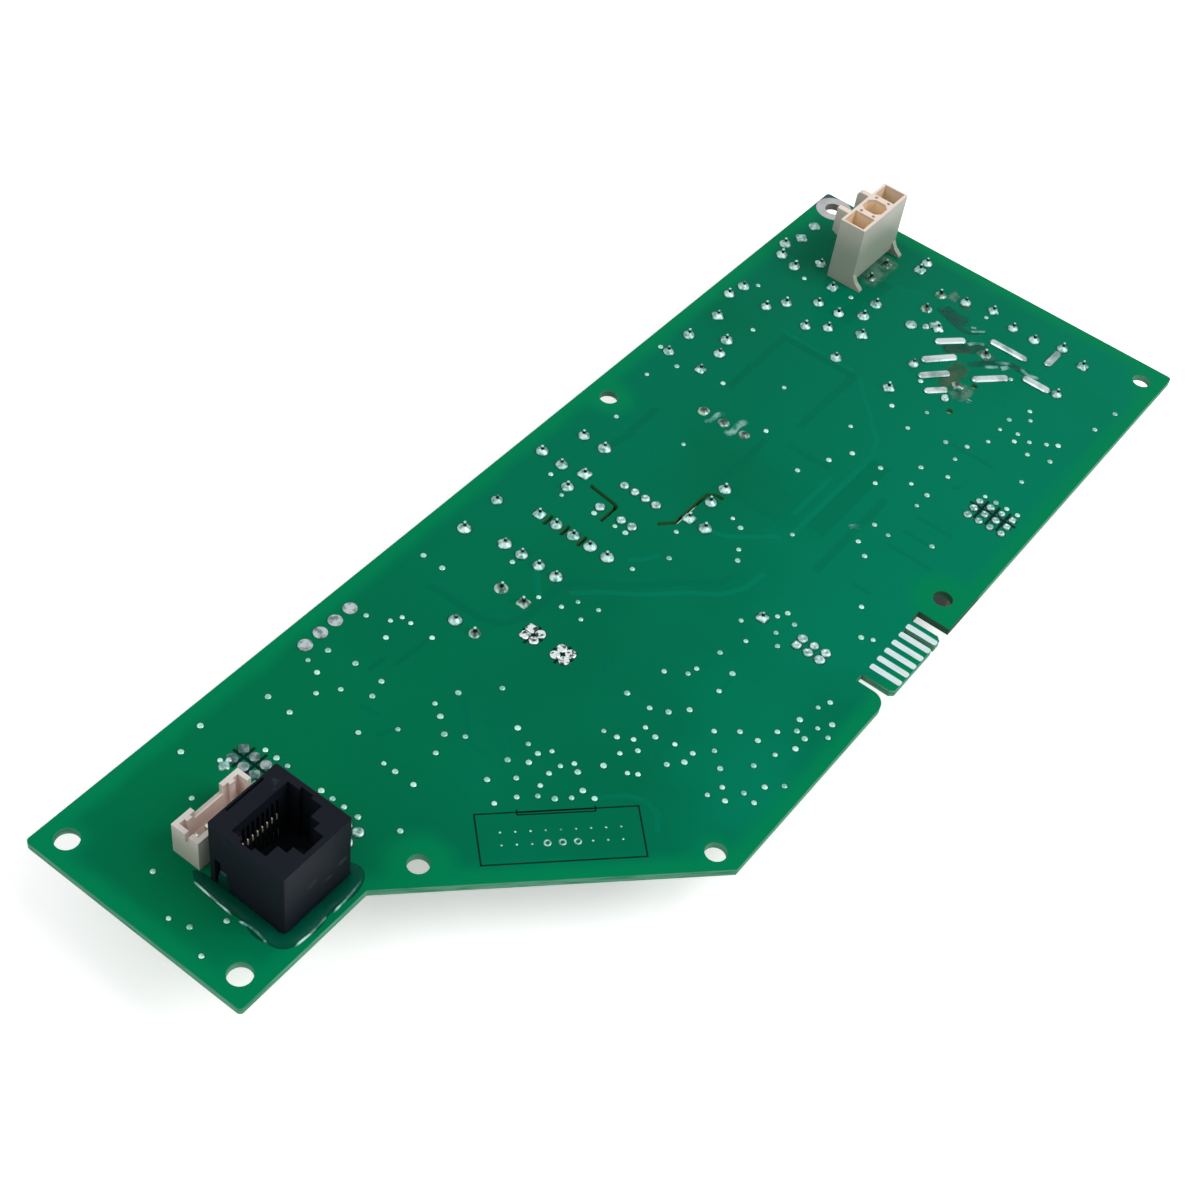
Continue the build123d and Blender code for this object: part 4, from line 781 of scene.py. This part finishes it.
films("sealant_glints", Film("sealant_glint", (0.10, 0.42, 0.34, 1), (0.60, 0.86, 0.78, 1), 1.4), [
    ([(11.8, 64.6), (11.5, 60.2), (11.2, 55.4)], 0.26, 0.4),
    ([(11.1, 54.2), (11.5, 51.2), (11.0, 47.6)], 0.30, 0.4),
    ([(13.2, 44.4), (17.4, 44.2), (21.0, 44.5)], 0.28, 0.4),
    ([(21.6, 44.1), (25.4, 44.3), (29.4, 44.8)], 0.26, 0.4),
    ([(30.4, 76.5), (31.6, 77.0)], 1.0, 0.2),
])
films("varnish_glints", Film("varnish_glint", (0.0, 0.26, 0.18, 1), (0.30, 0.62, 0.53, 1), 0.75), [
    ([(151.4, 28.6), (152.6, 27.6), (153.0, 26.4)], 0.7, 0.05),
    ([(155.6, 66.4), (157.0, 65.4), (159.4, 65.4), (161.0, 64.2)], 0.8, 0.1),
    ([(155.6, 61.4), (157.2, 60.4), (160.0, 60.6), (162.4, 59.8)], 1.0, 0.1),
    ([(220.1, 40.3), (221.3, 39.0), (222.8, 37.7)], 0.42, 0.15),
    ([(221.5, 40.9), (222.3, 39.8)], 0.42, 0.1),
    ([(215.7, 38.7), (217.6, 37.5), (218.9, 35.5)], 0.7, 0.05),
    ([(212.3, 32.3), (213.3, 31.0), (214.6, 29.9)], 0.63, 0.15),
    ([(214.7, 31.5), (216.2, 29.9), (217.3, 28.2)], 0.63, 0.15),
    ([(214.2, 29.4), (215.1, 28.8), (216.4, 28.2)], 0.84, 0.2),
    ([(217.5, 26.3), (216.9, 24.6), (216.9, 23.3), (217.6, 21.2)], 0.63, 0.2),
    ([(199.9, 29.7), (199.9, 27.9)], 0.31, 0.08),
    ([(200.7, 29.9), (200.7, 28.3)], 0.25, 0.08),
])

# ------------------------------------------------------------------------------ connectors
# Moulded in unfilled nylon, softly glossy, a little darker and warmer deep inside the cavities.
# Their pins and blades, like the legs and leads of every part, are tinned.


def nylon(name, foot, head, rim_wear_and_highlight, inside, box, clear):
    """Unfilled nylon painted in the board's colour towards its foot, as the board's reflected light
    and the shade near it, with a rim painted paler, partly as wear and partly as a highlight, and a
    warmer tone further than clear inside box's walls."""
    made = Finish(name, Roughness=0.4, Specular_IOR_Level=0.3)
    low, high = box
    x, y, z = made.axes()
    walls = (x - low.x).least(high.x - x).least(y - low.y).least(high.y - y) / mm
    below_rim = ((high.z - z) / mm).step(0.0, 0.8)
    deep = walls.step(clear - 0.1, clear + 0.1) * below_rim
    climb = ((z - low.z) / (high.z - low.z)).step(0.45, 1.0)
    # painted light: towards the foot the colour stands for the board's reflected light and shade
    tone = made.mix(foot, head, climb * 0.85 + made.noise(90) * 0.3)
    # the rim's paler tone is partly wear and partly a painted highlight
    tone = made.mix(tone, rim_wear_and_highlight, ((high.z - z) / mm).step(0.35, 0.05))
    made.paint(tone, inside, deep, Roughness=made.noise(1500) * 0.2 + 0.32)
    made.bump(made.noise(2600, 2), 0.02 * mm, 0.4)
    return made


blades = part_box("mains_blades")
low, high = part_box("mains_connector")
blade_line = (blades[0].y + blades[1].y) / 2
half_shell = 3 * mm             # the body alone, without its feet and ribs
shell = (Vector((low.x, blade_line - half_shell, low.z)),
         Vector((high.x, blade_line + half_shell, high.z)))
# painted light: the first colour, greener and darker, stands for the board's reflected light and
# shade at the foot
dress(nylon("cream_nylon", (0.28, 0.34, 0.27, 1), (0.58, 0.54, 0.49, 1), (0.88, 0.74, 0.64, 1),
            (0.95, 0.74, 0.50, 1), shell, 0.4), "mains_connector")
dress(nylon("blush_nylon", (0.48, 0.48, 0.42, 1), (0.66, 0.62, 0.56, 1), (0.74, 0.70, 0.65, 1),
            (0.86, 0.73, 0.67, 1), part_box("signal_header"), 0.6), "signal_header")

pin_metal = Finish("tinned_pins", Metallic=1.0)
pin_metal.paint((0.55, 0.54, 0.50, 1), (0.80, 0.78, 0.72, 1), pin_metal.noise(1200),
                Roughness=pin_metal.noise(2000) * 0.2 + 0.22)
dress(pin_metal, "signal_header_pins", "mains_blades", "jack_leads", "frame_pins", "wire_leads",
      "harness_header_pins", "sensor_header_pins", "heater_header_pins", "pump_header_pins",
      "program_strip_pins", "power_switch_legs", "microcontroller_legs", "driver_chip_legs",
      "memory_chip_legs", "optocoupler_legs")

for name in ("harness_header", "sensor_header", "heater_header", "pump_header"):
    dress(nylon("white_nylon", (0.82, 0.81, 0.77, 1), (0.74, 0.73, 0.68, 1),
                (0.74, 0.73, 0.68, 1), (0.70, 0.68, 0.60, 1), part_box(name), 0.5), name)

# ------------------------------------------------------------------------------ component side
# The parts that hang from the other face, moulded, sleeved, dipped or wound, each in the usual
# colours of its kind.  Their leads end in the joints above.


def moulded(name, dark, light, rough, grain_scale=1800, coat=0.0):
    """A moulded, sleeved or dipped surface: two close tones, an uneven gloss and a fine grain."""
    made = Finish(name, Coat_Weight=coat)
    grain = made.noise(grain_scale, 3)
    made.paint(dark, light, made.noise(150, 3), Roughness=grain * 0.2 + (rough - 0.1))
    made.bump(grain, 0.02 * mm, 0.5)
    return made


dress(moulded("relay_blue", (0.02, 0.07, 0.24, 1), (0.03, 0.10, 0.32, 1), 0.35), "relay_cases")
dress(moulded("relay_resin", (0.015, 0.04, 0.12, 1), (0.02, 0.06, 0.17, 1), 0.25), "relay_bases")
dress(moulded("black_nylon", (0.012, 0.012, 0.013, 1), (0.024, 0.024, 0.026, 1), 0.45),
      "transformer_bobbin", "choke_base_plate", "program_strip")
dress(moulded("ferrite_grey", (0.030, 0.029, 0.031, 1), (0.060, 0.058, 0.060, 1), 0.55, 2600),
      "transformer_core", "choke_loop", "drum_choke_core", "power_inductor")
dress(moulded("yellow_tape", (0.72, 0.50, 0.06, 1), (0.84, 0.62, 0.10, 1), 0.3, 500),
      "transformer_winding")
dress(moulded("black_sleeve", (0.012, 0.014, 0.03, 1), (0.02, 0.024, 0.05, 1), 0.28, 300),
      "electrolytic_cans")
dress(moulded("blue_dip", (0.03, 0.12, 0.38, 1), (0.05, 0.17, 0.48, 1), 0.3, 700), "dipped_discs")
dress(moulded("ochre_dip", (0.42, 0.20, 0.05, 1), (0.55, 0.28, 0.07, 1), 0.3, 700),
      "small_ceramics")
dress(moulded("yellow_case", (0.58, 0.46, 0.10, 1), (0.68, 0.55, 0.14, 1), 0.35), "film_capacitors")
dress(moulded("brown_case", (0.07, 0.03, 0.02, 1), (0.12, 0.055, 0.035, 1), 0.35), "fuse_body")
dress(moulded("chip_epoxy", (0.014, 0.014, 0.015, 1), (0.026, 0.026, 0.028, 1), 0.5, 3500),
      "power_switch", "microcontroller", "driver_chip", "memory_chip", "optocouplers",
      "regulator_body", "chip_resistors")
dress(moulded("fired_ceramic", (0.30, 0.23, 0.16, 1), (0.40, 0.32, 0.23, 1), 0.4, 2500),
      "chip_capacitors")

copper_wire = Finish("enamelled_copper", Metallic=1.0)
x, y, z = copper_wire.axes()
# painted shade: the colour darkens between the turns of wire
turn_shading = (z / (0.55 * mm) * 6.2832).math("SINE") * 0.5 + 0.5
copper_wire.paint((0.20, 0.06, 0.025, 1), (0.62, 0.26, 0.11, 1), turn_shading, Roughness=0.3)
copper_wire.bump(turn_shading, 0.2 * mm, 0.8)
dress(copper_wire, "choke_coils", "drum_choke_winding")

can_metal = Finish("pressed_can", Metallic=1.0)
brushed = can_metal.noise(900, 3, (1, 8, 1))
can_metal.paint((0.60, 0.60, 0.58, 1), (0.76, 0.76, 0.74, 1), brushed,
                Roughness=brushed * 0.2 + 0.2)
dress(can_metal, "crystal")

# ------------------------------------------------------------------------------ chip fittings
# Tinned ends of the chip parts, the pin-one dimples of the chips, and the bare scored tops of the
# sleeved cans.


def blocks(low, high):
    """Boxes as four rings of four points: middle, foot, top, middle."""
    corner = np.array([(0, 0), (1, 0), (1, 1), (0, 1)])
    flat = low[:, None, :2] + corner * (high - low)[:, None, :2]
    centre = np.broadcast_to(flat.mean(axis=1)[:, None], flat.shape)
    rings = []
    for outline, level in ((centre, low), (flat, low), (flat, high), (centre, high)):
        height = np.broadcast_to(level[:, None, 2:], flat.shape[:2] + (1,))
        rings.append(np.concatenate([outline, height], axis=2))
    return np.stack(rings, axis=1)


def end_caps(name, axis, reach):
    """Blocks over both ends of each solid of a node, a hair larger than it."""
    low, high = solids_of(name).transpose(1, 0, 2)
    hair = 0.03 * mm
    low = low - hair
    high = high + np.array([hair, hair, 0])
    near, far = high.copy(), low.copy()
    near[:, axis] = low[:, axis] + reach * mm
    far[:, axis] = high[:, axis] - reach * mm
    return blocks(np.vstack([low, far]), np.vstack([near, high]))


place(patches("resistor_ends", end_caps("chip_resistors", 0, 0.4)), pin_metal, "tinned_pin",
      smooth=False)
place(patches("capacitor_ends", end_caps("chip_capacitors", 1, 0.4)), pin_metal, "tinned_pin",
      smooth=False)

dimple = moulded("dimple_black", (0.03, 0.03, 0.032, 1), (0.05, 0.05, 0.052, 1), 0.3)
share = np.array([0, 1, 1, 0])
rise = np.array([0, 0, 0.03, 0.03]) * mm
for name in ("microcontroller", "driver_chip", "memory_chip"):
    low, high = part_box(name)
    dot = np.array([[low.x + 1.1 * mm, low.y + 1.1 * mm, low.z - 0.02 * mm]])
    place(patches(name + "_dimple", turned(dot, 0.45 * mm * share, rise, 16)), dimple,
          "chip_black")

can_low, can_high = solids_of("electrolytic_cans").transpose(1, 0, 2)
centres = np.column_stack([middles(np.stack([can_low, can_high], axis=1)), can_low[:, 2]])
radius = (can_high[:, 0] - can_low[:, 0]) / 2 - 0.9 * mm
rise = np.array([-0.02, -0.02, 0.05, 0.05]) * mm
place(patches("can_tops", turned(centres, radius[:, None] * share, rise, 32)), can_metal,
      "crystal_can")
half_width = np.full(len(radius), 0.15 * mm)
deep = np.full(len(radius), 0.03 * mm)
scores = [np.column_stack([*flat, deep]) for flat in ((radius * 0.75, half_width),
                                                      (half_width, radius * 0.75))]
low = np.vstack([centres - score for score in scores])
high = np.vstack([centres + score * (1, 1, 0) for score in scores])
place(patches("can_scores", blocks(low, high)), dimple, "can_sleeve", smooth=False)

# ------------------------------------------------------------------------------ studio
# A pale floor that shows as white behind the board and keeps its soft shadow, plain soft lamps
# high on both sides, and one camera.
room = bpy.data.worlds.new("studio_air")
bpy.context.scene.world = room
room.use_nodes = True
room_tree = room.node_tree
air = room_tree.nodes["Background"]
air.inputs["Color"].default_value = (1, 1, 1, 1)
rays = room_tree.nodes.new("ShaderNodeLightPath")
seen = room_tree.nodes.new("ShaderNodeMapRange")
seen.inputs["To Min"].default_value = 0.46
seen.inputs["To Max"].default_value = 1.0
shown = rays.outputs["Is Camera Ray"]
for kind in ("Is Glossy Ray", "Is Transmission Ray"):
    either = room_tree.nodes.new("ShaderNodeMath")
    either.operation = "MAXIMUM"
    room_tree.links.new(shown, either.inputs[0])
    room_tree.links.new(rays.outputs[kind], either.inputs[1])
    shown = either.outputs[0]
room_tree.links.new(shown, seen.inputs["Value"])
room_tree.links.new(seen.outputs["Result"], air.inputs["Strength"])

floor_mesh = bpy.data.meshes.new("floor")
half = 3.0
floor_mesh.from_pydata([(-half, -half, 0), (half, -half, 0), (half, half, 0), (-half, half, 0)],
                       [], [(0, 1, 2, 3)])
floor = bpy.data.objects.new("floor", floor_mesh)
bpy.context.scene.collection.objects.link(floor)
paper = Finish("floor_paper", Roughness=0.9)
paper.wear(Base_Color=(0.93, 0.93, 0.93, 1), Emission_Color=(1, 1, 1, 1))
rays = paper.node("ShaderNodeLightPath").output.node
camera_ray, glossy_ray, clear_ray = [Socket(paper, rays.outputs["Is " + kind + " Ray"])
                                     for kind in ("Camera", "Glossy", "Transmission")]
paper.wear(Emission_Strength=camera_ray.most(glossy_ray).most(clear_ray) * 0.45)
below = paper.node("ShaderNodeNewGeometry", output="Backfacing")    # clear to a look from below
paper.wear(Alpha=1.0 - below)
floor_mesh.materials.append(paper.material)


def lamp(name, place, size, power):
    """A square soft lamp that faces the middle of the board."""
    light = bpy.data.lights.new(name, "AREA")
    light.size = size
    light.energy = power
    holder = bpy.data.objects.new(name, light)
    holder.location = place
    aim = Vector((0, 0, 0.02)) - Vector(place)
    holder.rotation_euler = aim.to_track_quat("-Z", "Y").to_euler()
    bpy.context.scene.collection.objects.link(holder)


lamp("key_lamp", (0.30, -0.72, 0.90), 0.7, 7.4)
lamp("fill_lamp", (-0.70, 0.40, 0.80), 0.8, 2.6)

camera_data = bpy.data.cameras.new("camera")
camera_data.sensor_width = 36
camera_data.lens = 58.5
camera_data.shift_x = -0.0327
camera_data.shift_y = 0.0069
camera = bpy.data.objects.new("camera", camera_data)
camera.location = (-223.447 * mm, -111.203 * mm, 283.394 * mm)
camera.rotation_euler = np.radians((41.345, -7.340, -53.573))
bpy.context.scene.collection.objects.link(camera)
bpy.context.scene.camera = camera
bpy.context.scene.view_settings.view_transform = "Standard"
